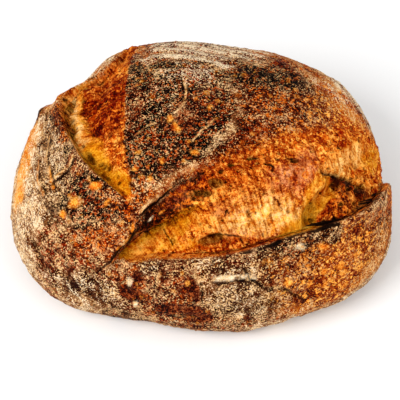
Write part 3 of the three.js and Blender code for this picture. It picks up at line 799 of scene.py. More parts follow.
# %% Kinds of surface
COLOURS = {  # red, green, blue as on a screen, from 0 to 255
    "flour": (246, 221, 182), "toasted flour": (236, 186, 124), "thin flour": (182, 136, 92),
    "cream": (228, 168, 92), "straw": (228, 144, 44), "gold": (206, 123, 14),
    # olive is gold crumb in shade, and serves only for painted shade
    "deep gold": (192, 110, 4), "olive": (124, 76, 8), "bay gold": (220, 144, 30),
    "pale amber": (238, 146, 44), "amber": (190, 82, 8), "rust": (140, 40, 1),
    "ember": (122, 22, 0), "maroon": (74, 18, 2), "red brown": (104, 34, 6),
    "warm brown": (136, 56, 12), "brown": (104, 54, 24), "dark brown": (58, 24, 9),
    "burnt": (20, 7, 2), "tan": (168, 114, 66), "pink tan": (196, 116, 66),
}
SURFACES = {  # ground, spots; then shares of spots, flour, film of flour and black cracks, and unevenness
    "plain crust": ("brown", "amber", 0.22, 0.38, 0.40, 0.26, 0.3),
    "pale dust": ("tan", "brown", 0.40, 0.60, 0.45, 0.30, 0.2),
    "tan dust": ("brown", "tan", 0.30, 0.48, 0.40, 0.34, 0.2),
    "salt on black": ("burnt", "red brown", 0.40, 0.31, 0.0, 0.28, 0.5),
    "salt on brown": ("dark brown", "rust", 0.30, 0.12, 0.0, 0.28, 0.5),
    "dark bake": ("burnt", "rust", 0.36, 0.08, 0.0, 0.26, 0.5),
    "brown dust": ("brown", "rust", 0.34, 0.30, 0.24, 0.26, 0.4),
    "salt": ("dark brown", "amber", 0.24, 0.46, 0.0, 0.30, 0.5),
    "smoky": ("burnt", "dark brown", 0.40, 0.20, 0.36, 0.30, 0.5),
    "grey dust": ("dark brown", "brown", 0.40, 0.30, 0.24, 0.36, 0.3),
    "grey film": ("tan", "brown", 0.36, 0.48, 0.50, 0.22, 0.3),
    "ring dust": ("warm brown", "amber", 0.30, 0.74, 0.04, 0.42, 0.3),
    "bare black": ("burnt", "warm brown", 0.26, 0.09, 0.0, 0.30, 0.5),
    "bare maroon": ("maroon", "red brown", 0.36, 0.03, 0.0, 0.16, 0.5),
    "bare red": ("red brown", "rust", 0.36, 0.11, 0.05, 0.28, 0.5),
    "gold on red": ("red brown", "amber", 0.32, 0.14, 0.08, 0.28, 0.5),
    "orange crust": ("warm brown", "amber", 0.40, 0.12, 0.22, 0.20, 0.5),
    "warm crust": ("warm brown", "pale amber", 0.24, 0.10, 0.08, 0.28, 0.5),
    "amber crust": ("amber", "straw", 0.34, 0.05, 0.06, 0.16, 0.5),
    "pale amber crust": ("pale amber", "cream", 0.50, 0.46, 0.06, 0.04, 0.1),
    "orange rim": ("pale amber", "straw", 0.40, 0.24, 0.0, 0.05, 0.2),
    "dusted amber": ("pale amber", "rust", 0.40, 0.54, 0.06, 0.20, 0.4),
    "front dust": ("brown", "dark brown", 0.40, 0.42, 0.22, 0.34, 0.3),
    "amber crumb": ("amber", "pale amber", 0.22, 0.0, 0.0, 0.12, 0.5),
    "ember crumb": ("ember", "amber", 0.16, 0.0, 0.0, 0.08, 0.5),
    "rust crumb": ("rust", "amber", 0.25, 0.0, 0.0, 0.12, 0.5),
    "gold crumb": ("gold", "straw", 0.30, 0.0, 0.0, 0.0, 0.2),
    "bay crumb": ("bay gold", "gold", 0.30, 0.0, 0.0, 0.02, 0.1),
    "deep gold crumb": ("deep gold", "gold", 0.35, 0.0, 0.0, 0.01, 0.15),
    # painted shade: gold crumb darkened to olive where it lies under overhangs and in hollows
    "olive crumb": ("olive", "deep gold", 0.50, 0.0, 0.0, 0.01, 0.2),
    "cream crumb": ("cream", "straw", 0.40, 0.0, 0.0, 0.02, 0.4),
    "straw crumb": ("straw", "amber", 0.36, 0.0, 0.0, 0.04, 0.5),
    "pink crumb": ("pink tan", "amber", 0.35, 0.0, 0.0, 0.04, 0.3),
    "brown crumb": ("red brown", "amber", 0.46, 0.0, 0.0, 0.14, 0.6),
    "dark crumb": ("dark brown", "rust", 0.25, 0.0, 0.0, 0.36, 0.4),
    # painted shade: black for the shade in cracks, gaps and holes and under lifted edges
    "crack": ("burnt", "burnt", 0.0, 0.0, 0.0, 0.0, 0.0),
    "flake": ("flour", "toasted flour", 0.30, 0.30, 0.0, 0.03, 0.15),
    "fold edge": ("toasted flour", "tan", 0.40, 0.20, 0.0, 0.10, 0.3),
    "blister": ("pale amber", "amber", 0.30, 0.0, 0.0, 0.0, 0.25),
}


FAR_OUT = 9  # widths away, where no wash reaches


def linear(colour):
    """Light in a screen colour: the screen's curve undone."""
    c = np.array(COLOURS[colour]) / 255
    return np.where(c < 0.04045, c / 12.92, ((c + 0.055) / 1.055) ** 2.4)


def oval(mu, mv, long, wide, turn=0):
    """How far out a place is from the middle of an oval, with 1 on its edge."""
    return lambda u, v: share_out(u, v, (mu, mv), long, wide, turn)


def band(half_width, *line):
    """How far out a place is from a line, with 1 at the half width."""
    return lambda u, v: np.abs(beside(line, u, v)[0]) / half_width


def shelf(width, *line):
    """How far out a place is on the left of a line, with 1 at the width. Its right side is far out."""
    def out(u, v):
        away = beside(line, u, v)[0]
        return np.where(away > 0, away / width, FAR_OUT)
    return out


BURNT_EDGE = LEDGES[0]["line"]
print(len(COLOURS), "colours,", len(SURFACES), "kinds of surface")

# %% Washes on the left of the crust
LEFT_WASHES = [  # surface, strength, softness of the edge, where
    ("pale dust", 1.0, 0.35, oval(-114, -42, 66, 42, 82)),
    ("tan dust", 1.0, 0.3, band(12, (-118, 60), (-104, 26), (-92, 2), (-82, -20))),
    ("bare black", 0.9, 0.5, band(4, (-120, 64), (-110, 46), (-98, 30), (-91, 18))),
    ("gold on red", 1.0, 0.4, band(3, (-100, 42), (-94, 32), (-88, 19), (-84, 8), (-79, -4))),
    ("pale amber crust", 1.0, 0.5, oval(-115, -4, 30, 11, 82)),
    ("orange rim", 0.8, 0.5, band(6, (-115, 26), (-119, 8), (-119, -12), (-116, -28))),
    ("bare maroon", 0.7, 0.5, oval(-105, 43, 6, 13, -35)),
    ("dusted amber", 1.0, 0.4, band(13, (-94, 44), (-78, 62), (-70, 78), (-64, 96))),
    ("amber crust", 0.4, 0.5, band(7, (-88, 42), (-74, 60), (-66, 78), (-60, 96))),
    ("pale amber crust", 0.8, 0.5, band(7, (-90, 54), (-78, 70), (-71, 84), (-66, 100))),
    ("brown dust", 1.0, 0.4, oval(-88, -84, 32, 20, -30)),
    ("bare red", 0.4, 0.5, oval(-100, -78, 10, 18)),
    ("orange crust", 0.9, 0.5, oval(-60, -79, 22, 12, -20)),
    ("smoky", 1.0, 0.4, oval(-70, -44, 24, 17, -40)),
    ("dark bake", 0.6, 0.5, oval(-62, -44, 18, 7, -40)),
    ("salt on brown", 0.8, 0.5, oval(-54, -60, 18, 8, -30)),
    ("gold on red", 0.8, 0.5, oval(-48, -54, 10, 7, -40)),
    ("bare maroon", 0.35, 0.5, oval(-52, -75, 11, 6)),
    ("smoky", 0.8, 0.5, oval(-74, -17, 5, 10, 20)),
    ("bare red", 0.6, 0.5, oval(-67, -23, 6, 8)),
    ("pale dust", 0.6, 0.5, oval(-114, -62, 12, 10, 80)),
    ("tan dust", 0.8, 0.5, oval(-87, -35, 6, 12, 10)),
    ("tan dust", 0.5, 0.5, oval(-77, -33, 7, 6)),
    ("front dust", 1.0, 0.4, oval(-86, -108, 42, 14, -34)),
    ("pale dust", 0.9, 0.4, oval(-98, -128, 56, 16, -38)),
    ("grey dust", 0.8, 0.5, oval(-84, -142, 16, 18, -38)),
    ("grey dust", 0.7, 0.5, oval(-62, -147, 18, 9, -10)),
    ("salt on brown", 0.5, 0.5, oval(-84, -133, 12, 9, -30)),
    ("brown dust", 0.9, 0.5, oval(-122, -94, 16, 14, 60)),
    ("brown dust", 0.9, 0.5, oval(-86, -63, 9, 8)),
    ("dark bake", 0.6, 0.5, oval(-68, -62, 10, 6, -20)),
]

# %% Washes on the front
FRONT_WASHES = [
    ("bare red", 0.8, 0.4, oval(-34, -124, 32, 22, 5)),
    ("grey dust", 0.7, 0.3, oval(-33, -123, 11, 7, -20)),
    ("bare red", 0.6, 0.5, oval(-54, -100, 12, 6)),
    ("front dust", 1.0, 0.3, oval(34, -124, 32, 22, 8)),
    ("grey dust", 0.6, 0.4, oval(15, -132, 11, 10, 8)),
    ("pale dust", 0.4, 0.5, oval(36, -131, 9, 7)),
    ("pale dust", 0.5, 0.5, oval(4, -121, 8, 7)),
    ("bare red", 0.8, 0.5, oval(-30, -107, 20, 4)),
    ("bare maroon", 1.0, 0.15, oval(-56, -124, 8, 10, 10)),
    ("bare maroon", 1.0, 0.15, oval(-45, -109, 8, 4, 60)),
    ("bare maroon", 1.0, 0.15, oval(-8, -120, 6, 16, 4)),
    ("bare maroon", 0.9, 0.15, oval(-27, -113, 3, 9, -30)),
    ("bare maroon", 0.9, 0.15, oval(-40, -136, 3, 8, 30)),
    ("bare maroon", 1.0, 0.15, oval(-14, -142, 24, 9, -8)),
    ("bare black", 0.7, 0.4, oval(-18, -146, 12, 3, -8)),
    ("bare black", 0.6, 0.4, oval(-54, -130, 6, 3, 30)),
    ("bare black", 0.6, 0.4, oval(-10, -132, 4, 6, 10)),
    ("orange crust", 0.8, 0.4, band(2.5, (-48, -103), (-24, -104), (-2, -103))),
    ("front dust", 1.0, 0.4, band(7, (-40, -105), (-10, -106), (20, -103), (40, -95), (56, -87))),
    ("dark bake", 0.8, 0.5, band(2.2, (30, -94), (44, -87), (58, -79), (70, -70))),
    ("bare maroon", 0.6, 0.5, oval(-18, -109, 13, 5)),
    ("bare maroon", 0.8, 0.5, oval(-8, -158, 18, 8)),
    ("warm crust", 1.0, 0.35, oval(88, -88, 46, 36, 42)),
    ("amber crust", 0.5, 0.6, oval(100, -86, 24, 30, 20)),
    ("bare red", 0.6, 0.5, oval(66, -90, 14, 10, 20)),
    ("grey dust", 0.9, 0.4, band(5, (38, -92), (56, -84), (68, -75), (80, -64))),
    ("dark bake", 0.5, 0.5, oval(60, -83, 10, 5, 30)),
    ("bare red", 0.5, 0.5, oval(24, -97, 10, 3.5, 15)),
    ("pale dust", 0.9, 0.4, band(11, (50, -160), (80, -151), (110, -134), (142, -98), (151, -55))),
    ("dusted amber", 0.7, 0.5, oval(128, -60, 36, 9, 76)),
    ("dusted amber", 0.6, 0.5, oval(80, -128, 16, 7, 20)),
    ("warm crust", 0.5, 0.5, oval(122, -62, 34, 9, 74)),
    ("orange crust", 0.8, 0.5, band(4, (104, -46), (120, -38), (130, -22))),
    ("amber crust", 0.8, 0.5, oval(127, -22, 7, 10, 60)),
]

# %% Washes on the crown
CROWN_WASHES = [
    ("salt on black", 1.0, 0.3, oval(-8, 14, 42, 56)),
    ("salt on brown", 0.9, 0.5, oval(4, 20, 14, 30)),
    ("dark bake", 0.9, 0.4, oval(-14, -24, 30, 18, 6)),
    ("salt on brown", 0.9, 0.4, oval(-30, -32, 16, 18)),
    ("dark bake", 0.8, 0.5, oval(-2, -30, 14, 8, 20)),
    ("bare maroon", 0.8, 0.5, oval(-11, -2, 9, 12)),
    ("dark bake", 0.6, 0.5, oval(-36, -28, 7, 9)),
    ("bare maroon", 0.7, 0.5, oval(-38, 8, 5, 22)),
    ("bare maroon", 0.4, 0.5, oval(3, 12, 8, 10, -10)),
    ("salt", 0.7, 0.5, oval(-22, 14, 9, 8)),
    ("bare red", 0.6, 0.5, oval(-8, -31, 10, 5, 6)),
    ("bare black", 0.9, 0.5, oval(-5, -31, 12, 6, 20)),
    ("bare black", 0.5, 0.5, oval(-33, -38, 12, 7)),
    ("grey film", 1.0, 0.4, band(3.5, (-38, -66), (-28, -60), (-18, -53), (-9, -46), (0, -40))),
    ("grey film", 1.0, 0.4, oval(-19, -50, 12, 7, 35)),
    ("grey dust", 1.0, 0.5, band(3, (0, -40), (8, -30), (15, -13), (22, 1), (20, 14), (13, 30))),
    ("grey film", 0.9, 0.5, band(2.5, (12, -18), (18, -6), (22, 2), (19, 14))),
    ("gold on red", 0.7, 0.4, band(6, (-36, -58), (-44, -66))),
    ("bare black", 0.8, 0.5, oval(-38, 40, 9, 16, -6)),
    ("salt", 0.9, 0.4, oval(-6, 38, 26, 14)),
    ("ring dust", 0.7, 0.5, oval(-2, 36, 14, 9)),
    ("bare black", 0.8, 0.5, oval(-27, 44, 12, 5)),
]

# %% Washes on the back
BACK_WASHES = [
    ("ring dust", 1.0, 0.25, oval(-2, 104, 110, 46)),
    ("ring dust", 0.9, 0.5, band(5, (-32, 52), (-10, 60), (12, 52), (24, 42))),
    ("dusted amber", 0.7, 0.4, oval(52, 72, 20, 10, -20)),
    ("orange crust", 0.8, 0.4, oval(-42, 82, 8, 22, 14)),
    ("amber crust", 0.8, 0.5, oval(-50, 82, 8, 15)),
    ("bare red", 0.9, 0.5, oval(52, 54, 12, 10, 10)),
]

# %% Washes on the right
RIGHT_WASHES = [
    ("gold on red", 1.0, 0.4, oval(50, 8, 32, 22)),
    ("bare black", 1.0, 0.35, oval(38, 35, 24, 13, -3)),
    ("bare red", 1.0, 0.5, oval(28, -18, 15, 11, 24)),
    ("warm crust", 0.9, 0.5, oval(76, 12, 14, 20)),
    ("amber crust", 1.0, 0.5, oval(98, 14, 20, 24)),
    ("dusted amber", 1.0, 0.5, oval(84, 42, 24, 14, -40)),
    ("ring dust", 0.9, 0.5, band(12, (70, 84), (100, 58), (126, 26), (134, 6))),
    ("amber crust", 1.0, 0.5, oval(66, -17, 36, 9, 8)),
    ("orange crust", 0.9, 0.5, oval(67, 57, 15, 11, -45)),
    ("bare red", 0.9, 0.5, oval(27, -20, 12, 8, 20)),
    ("bare red", 0.9, 0.5, oval(107, 12, 6, 9, -20)),
]
CRUST_WASHES = LEFT_WASHES + FRONT_WASHES + CROWN_WASHES + BACK_WASHES + RIGHT_WASHES
print(len(CRUST_WASHES), "washes over the crust")

# %% [markdown]
# The torn crumb is painted in the same way. Its palest parts are the last that opened, where the dough was
# still soft when the crust had set.

# %% Washes in the front cut
FRONT_CRUMB_WASHES = [
    ("amber crumb", 1.0, 0.3, oval(20, -45, 90, 46, 20)),
    ("rust crumb", 0.8, 0.5, oval(-4, -48, 28, 7, 36)),
    ("rust crumb", 0.6, 0.6, oval(36, -34, 20, 8, 20)),
    ("pink crumb", 0.8, 0.6, oval(52, -36, 14, 8, 60)),
    ("rust crumb", 0.6, 0.6, oval(8, -66, 12, 4, 20)),
    ("rust crumb", 0.7, 0.6, oval(-3, -85, 5, 8, 10)),
    ("deep gold crumb", 1.0, 0.35, oval(-34, -86, 32, 12, 20)),
    ("gold crumb", 0.9, 0.5, oval(-20, -92, 30, 7, 8)),
    ("deep gold crumb", 0.8, 0.5, oval(-10, -84, 12, 6, 20)),
    ("straw crumb", 0.7, 0.6, oval(-34, -90, 16, 5, 20)),
    # painted shade under the burnt ledge, along the top of the golden bay
    ("olive crumb", 0.6, 0.5, oval(-16, -74, 20, 5, 22)),
    ("rust crumb", 1.0, 0.4, shelf(13, *BURNT_EDGE)),
    ("brown crumb", 1.0, 0.4, shelf(8, *BURNT_EDGE)),
    ("dark crumb", 1.0, 0.4, shelf(7, *BURNT_EDGE[2:7])),
    ("amber crumb", 0.9, 0.5, shelf(2.4, *BURNT_EDGE[4:])),
    ("rust crumb", 1.0, 0.4, oval(-4, -56, 22, 7, 26)),
    ("brown crumb", 1.0, 0.4, oval(-18, -64, 20, 6, 20)),
    ("brown crumb", 0.8, 0.5, oval(-12, -67, 11, 4, 24)),
    ("dark crumb", 0.9, 0.5, band(2.6, (-39, -71), (-29, -67), (-19, -59), (-11, -53), (-1, -47))),
    ("dark crumb", 1.0, 0.3, oval(-36, -75, 9, 4.5, 30)),
    ("ember crumb", 0.9, 0.4, oval(-14, -62, 15, 4, 24)),
    # painted shadow under the overhang of the burnt ledge
    ("olive crumb", 0.8, 0.4, band(1.6, (-38, -81.5), (-25, -77.5), (-18, -73.5), (-8, -72))),
    ("straw crumb", 0.8, 0.4, oval(1, -61.5, 10, 4, 4)),
    ("straw crumb", 0.8, 0.4, oval(10, -54, 5.5, 4.6)),
    ("straw crumb", 0.9, 0.6, oval(10, -79, 20, 7, 24)),
    ("cream crumb", 1.0, 0.5, oval(38, -68, 27, 11, 24)),
    ("rust crumb", 0.7, 0.5, oval(12, -69, 8, 5, 20)),
    ("amber crumb", 0.5, 0.5, oval(24, -68, 8, 6, 20)),
    ("dark crumb", 0.6, 0.6, band(4, (-24, -68), (-13, -63), (-2, -60))),
    ("straw crumb", 0.3, 0.5, oval(30, -57, 26, 7, 16)),
    ("rust crumb", 0.5, 0.7, oval(32, -50, 28, 7, 20)),
    ("amber crumb", 0.9, 0.5, band(3.5, (-62, -98), (-30, -101), (0, -99), (18, -94))),
    ("amber crumb", 0.9, 0.5, band(2.6, (-14, -90), (-6, -84), (2, -86), (4, -94))),
    ("straw crumb", 0.9, 0.4, oval(8, -90, 8, 3, 16)),
    ("amber crumb", 1.0, 0.5, band(3.5, (0, -95), (14, -92), (34, -87), (50, -80), (60, -75))),
    ("rust crumb", 0.7, 0.5, band(2.6, (10, -90), (22, -89), (34, -86), (46, -81), (58, -76))),
    ("rust crumb", 1.0, 0.4, band(1.6, (8, -98), (20, -95), (34, -90), (46, -84), (58, -77))),
    ("straw crumb", 1.0, 0.4, oval(92, -12, 32, 9, 44)),
    ("cream crumb", 0.6, 0.5, oval(88, -14, 24, 5, 44)),
    ("gold crumb", 1.0, 0.4, oval(112, -2, 20, 7, 50)),
    ("amber crumb", 1.0, 0.4, oval(104, -30, 22, 7, 46)),
    ("brown crumb", 1.0, 0.3, oval(84, -46, 18, 11, 46)),
    ("amber crumb", 0.6, 0.5, oval(90, -40, 12, 3, 50)),
    ("brown crumb", 1.0, 0.4, oval(115, -18, 6, 4, 30)),
    ("dark crumb", 1.0, 0.5, oval(82, -33, 16, 4, -4)),
    ("bay crumb", 1.0, 0.3, oval(66, -50, 17, 8, 84)),
    ("bay crumb", 1.0, 0.3, oval(60, -67, 15, 6, 52)),
    ("straw crumb", 0.9, 0.5, oval(66, -44, 9, 5, 80)),
    # painted shade low in the olive bay
    ("olive crumb", 0.55, 0.5, oval(66, -59, 9, 6, 66)),
    ("rust crumb", 1.0, 0.4, band(1.6, (75, -44), (74, -54), (72, -63))),
    # painted shadow in the dark gap between the crumb and the lip
    ("crack", 1.0, 0.4, band(1.5, (66, -70), (74, -64), (80, -60), (90, -51))),
    ("crack", 1.0, 0.4, band(0.9, (90, -51), (102, -39), (113, -27))),
]

# %% Washes in the side cut
SIDE_CRUMB_WASHES = [
    ("ember crumb", 1.0, 0.3, oval(-58, 14, 48, 18, 85)),
    ("amber crumb", 1.0, 0.5, oval(-54, 62, 30, 17, 70)),
    ("straw crumb", 0.6, 0.6, band(3.5, (-49, 70), (-50, 58), (-47, 42))),
    ("rust crumb", 0.8, 0.6, oval(-50, 76, 12, 20, 5)),
    ("amber crumb", 0.6, 0.5, oval(-48, -20, 16, 5, -78)),
    ("rust crumb", 0.6, 0.5, oval(-66, 44, 12, 6, 60)),
    ("straw crumb", 0.5, 0.6, oval(-73, 46, 9, 7, 60)),
    ("gold crumb", 1.0, 0.4, band(6.5, (-79, 36), (-79, 24), (-77, 8), (-69, -10), (-58, -27))),
    # paler straw and cream along the wall under the side lip: partly the strip's own pale crumb, partly
    # painted light that lifts the wall out of its shade
    ("straw crumb", 1.0, 0.4, band(4.5, (-79, 36), (-79, 24), (-76, 6), (-67, -12), (-58, -26))),
    ("cream crumb", 0.9, 0.5, band(2.6, (-79, 30), (-78, 20), (-75, 8), (-70, -6), (-62, -20))),
    ("deep gold crumb", 1.0, 0.4, band(6, (-62, -16), (-54, -32), (-46, -48))),
    ("brown crumb", 1.0, 0.4, band(5, (-110, 44), (-98, 36), (-91, 26), (-88, 16), (-84, 2))),
    ("rust crumb", 0.8, 0.5, band(2.5, (-100, 41), (-90, 38), (-80, 38))),
    # painted shade inside the tip of the flap
    ("dark crumb", 0.9, 0.5, band(1.4, (-100, 37), (-92, 36), (-84, 33))),
    # painted shade in a hole of the side cut
    ("crack", 0.9, 0.5, oval(-79, 10, 3.0, 1.6, -10)),
    # painted shade in the holes of the side cut
    ("olive crumb", 0.8, 0.5, oval(-77, 2, 8, 2.4, -72)),
    ("olive crumb", 0.6, 0.5, oval(-60, -24, 7, 2.4, -58)),
]
CRUMB_WASHES = FRONT_CRUMB_WASHES + SIDE_CRUMB_WASHES
print(len(CRUMB_WASHES), "washes over the torn crumb")

# %% [markdown]
# Last come marks a few millimetres across: black painted shade in cracks and gaps and under lifted edges,
# pale flakes and curled edges of crust, and blisters, whose thin skin baked to amber.

# %% Cracks and curled edges
# the black marks are painted shade in cracks, holes and gaps and under flakes, folds and curled edges
CRACKS = [
    ("crack", 1.0, 0.3, band(1.2, (29, -104), (34, -109), (43, -114), (50, -116), (57, -112),
        (68, -114))),
    ("crack", 1.0, 0.4, band(0.9, (66, -114), (73, -116), (82, -118))),
    ("flake", 0.85, 0.4, band(1.7, (9, -114.5), (14, -112.5), (22, -111))),
    ("flake", 0.8, 0.4, band(1.0, (20, -111), (30, -109.5), (38, -108.5))),
    ("crack", 1.0, 0.5, band(0.9, (5, -116), (12, -117), (22, -113.5), (36, -111.5))),
    ("fold edge", 0.6, 0.4, oval(-4, -115, 1.6, 4.6, 20)),
    ("crack", 1.0, 0.5, band(0.8, (-1, -118), (1, -124), (1, -134))),
    ("fold edge", 0.9, 0.4, band(0.7, (-93, 4), (-91, -10), (-89, -18), (-86, -26))),
    ("crack", 0.9, 0.5, band(0.7, (-91.4, 2), (-89.4, -10), (-87.4, -18), (-84, -27))),
    ("crack", 1.0, 0.5, band(0.8, (-96, -14), (-93, -25), (-88, -37))),
    ("blister", 0.6, 0.4, band(0.7, (-97.5, -13), (-95, -25), (-90, -38))),
    ("fold edge", 1.0, 0.4, band(0.8, (-71, -19), (-73, -25), (-80, -29), (-85, -31))),
    ("blister", 0.8, 0.4, band(0.8, (-86.5, -22), (-84.5, -29), (-82.5, -36))),
    ("crack", 0.9, 0.4, band(0.6, (-85, -21), (-83, -28), (-81, -36))),
    ("crack", 1.0, 0.5, band(0.9, (-69.5, -21), (-72, -27), (-78, -31), (-83, -33))),
    ("crack", 0.5, 0.5, band(0.8, (-106, -60), (-104, -72), (-105, -85), (-111, -97))),
    ("crack", 1.0, 0.5, oval(18, -38, 2.2, 0.9, 10)),
    ("crack", 1.0, 0.5, oval(29, -30.5, 3.0, 0.9)),
    ("crack", 1.0, 0.5, oval(38, -33, 2.2, 0.8, -15)),
    ("crack", 0.9, 0.5, oval(12, -43, 1.6, 0.8, 20)),
    ("crack", 1.0, 0.5, oval(50, -26.5, 2.4, 0.9)),
    ("fold edge", 0.9, 0.4, band(0.9, (-39, -67), (-34, -63), (-28, -60))),
    ("crack", 1.0, 0.5, band(0.8, (-42, -71), (-36, -67), (-29, -63), (-20, -57))),
    # the rim of the burnt ledge: its own dark burnt edge, and painted shadow under its overhang
    ("dark crumb", 0.9, 0.3, band(1.4, (-46, -80), (-40, -79), (-32, -77), (-24, -73.5),
        (-17, -70), (-6, -68))),
    ("blister", 0.8, 0.3, oval(-42, -83, 3.4, 1.6, 30)),
    ("blister", 0.9, 0.3, oval(-45, -76, 1.0, 3.4, -16)),
    ("flake", 0.7, 0.3, oval(-34, -73, 2.6, 0.8, 30)),
    ("blister", 0.8, 0.3, oval(-27, -71, 2.2, 0.8, 30)),
    ("crack", 0.8, 0.5, band(0.5, (-26, -83), (-23, -88), (-20, -94))),
    ("crack", 0.9, 0.5, band(0.7, (5, -87), (10, -85.5), (16, -84), (24, -84))),
    ("crack", 1.0, 0.4, band(1.2, (26, -94), (36, -90), (46, -84.5), (55, -78), (62, -73),
        (70, -67), (80, -59))),
    ("crack", 1.0, 0.5, band(1.1, (-70, -97), (-62, -94), (-57, -89), (-50, -86), (-45, -81))),
    ("brown crumb", 0.9, 0.6, band(0.6, (43, -54), (46, -57), (48, -61))),
    ("brown crumb", 0.9, 0.6, band(0.5, (36, -57), (38, -63))),
]

# %% Blisters and flakes
BLISTER_EDGE = 0.4  # softness
BLISTERS = [  # strength, u, v, half length, half width, turn
    (1.0, -71, -48, 4.2, 3.6, 20), (1.0, -58, -41, 3.2, 2.8), (1.0, -79, -53, 2.2, 2.6),
    (0.9, -13, -10, 1.6, 4.0, 8), (0.9, 76, -77, 3.0, 2.2), (0.9, 62, -107, 3.0, 2.4),
    (0.9, 94, -84, 3.0, 3.0), (0.8, 107, -97, 2.0, 3.6), (0.8, 98, -89, 2.4, 1.6),
    (0.8, 100, -73, 1.8, 2.2), (0.8, 78, -104, 1.8, 2.6), (0.8, -54, -54, 3.0, 1.6, 50),
    (0.8, -24, -34, 1.6, 3.4), (0.8, -5, -31, 2.6, 2.0), (0.9, 84, -92, 2.2, 2.0),
    (0.8, 90, -100, 1.8, 2.2), (0.8, 72, -92, 1.8, 1.4), (0.8, 112, -80, 1.6, 2.4),
    (0.9, -17, -3, 1.6, 2.6, 20), (0.8, -34, -25, 1.6, 1.6), (0.8, -31, -46, 1.4, 2.6),
    (0.8, -37, -36, 1.6, 1.4), (0.8, -3, 12, 1.4, 1.4), (0.8, 4, 3, 1.2, 1.8),
]
FLAKES = [
    ("flake", 0.9, 0.4, oval(63, -82, 3.2, 1.6, 20)),
    ("flake", 0.85, 0.5, oval(-55, -112, 1.8, 3.2, -20)),
    ("fold edge", 0.9, 0.4, oval(-33, -113, 1.2, 3.6, -35)),
    ("flake", 1.0, 0.4, oval(-57, -131, 2.6, 2.0, 40)),
    ("fold edge", 1.0, 0.4, band(0.6, (-15, 1), (-12.5, 4), (-10, 10), (-9, 18), (-11, 28))),
    ("fold edge", 1.0, 0.4, band(0.6, (6, -5), (3, -11), (-1, -17), (-6, -22))),
    ("fold edge", 0.8, 0.4, band(0.5, (-36, -13), (-31, -9), (-25, -6))),
]
blister_marks = [("blister", strength, BLISTER_EDGE, oval(*where)) for strength, *where in BLISTERS]
MARKS = CRACKS + blister_marks + FLAKES
print(len(MARKS), "marks,", len(BLISTERS), "of them blisters")

# %% [markdown]
# The edge of a wash never runs straight on bread. So a slow sway and a quick one move the place that is
# looked up, and marks are broken here and there.

# %% Laying the washes on
WANDER = dict(slow=9, slow_by=3.0, quick=3.2, quick_by=1.6)  # how unevenly the edges run, in mm
MARKS_WANDER = 0.3  # share of that for the marks


def wander(points, draw, scale=1.0):
    """Noise by which the edges of the washes are moved: a slow sway and a quick one."""
    slow = WANDER["slow_by"] * noise(points, WANDER["slow"], draw)
    return scale * (slow + WANDER["quick_by"] * noise(points, WANDER["quick"], draw + 1))


def paint_of_surface(surface):
    """The eleven numbers that stand for a surface: two colours and five shares."""
    ground, spots, *shares = SURFACES[surface]
    return np.array([*linear(ground), *linear(spots), *shares])


def lay_on(washes, paint, u, v, broken=1.0):
    """Blends each wash into the paint: by its strength, eased across its edge, and broken where told."""
    for surface, strength, soft, out in washes:
        mask = (strength * broken * smooth(1 + soft, 1 - soft, out(u, v)))[:, None]
        paint = paint * (1 - mask) + mask * paint_of_surface(surface)
    return paint


def paint_regions(form):
    """The washes over the crust and over the crumb, blended by which of them a place is, then the marks."""
    points, opened = form["points"], form["crumb"][:, None]
    u, v = form["seen"]
    swayed_u, swayed_v = u + wander(points, 80), v + wander(points, 82)
    crust_paint = lay_on(CRUST_WASHES, paint_of_surface("plain crust"), swayed_u, swayed_v)
    crumb_paint = lay_on(CRUMB_WASHES, paint_of_surface("amber crumb"), swayed_u, swayed_v)
    paint = crust_paint * (1 - opened) + crumb_paint * opened
    whole = 0.6 + 0.4 * smooth(-0.55, -0.1, noise(points, 3.5, 88))
    near_u, near_v = u + wander(points, 84, MARKS_WANDER), v + wander(points, 86, MARKS_WANDER)
    return lay_on(MARKS, paint, near_u, near_v, whole)


# %% [markdown]
# ## Pores, blisters and strands
#
# Some colour follows the fine relief instead: pores, cracks, clefts and caves get painted shade, blisters are
# paler, because their thin skin bakes to amber, and the strands of the torn crumb catch the light.

# %% Colour from the relief
SHARES = ("spots", "flour", "film", "specks", "bake")  # in columns 6 to 10, after the two colours
FLOUR, SPECKS, BAKE = 7, 9, 10
# how far painted shade darkens the pores, the cracks and, at most, any place, towards black
PORE_PAINTED_SHADE, CRACK_PAINTED_SHADE, MOST_PAINTED_SHADE = 0.8, 0.9, 0.95
# painted shade in the caves: how much, and how dark its olive is
CAVE_PAINTED_SHADE, CAVE_SHADE = 0.75, 0.45
BLISTER_BARE = 0.7  # share of flour that falls off a blister
FOLD_FLOUR, FOLD_SPECKS, RING_FLOUR = 0.3, 0.15, 0.18
STRAND_LIGHT = 0.12


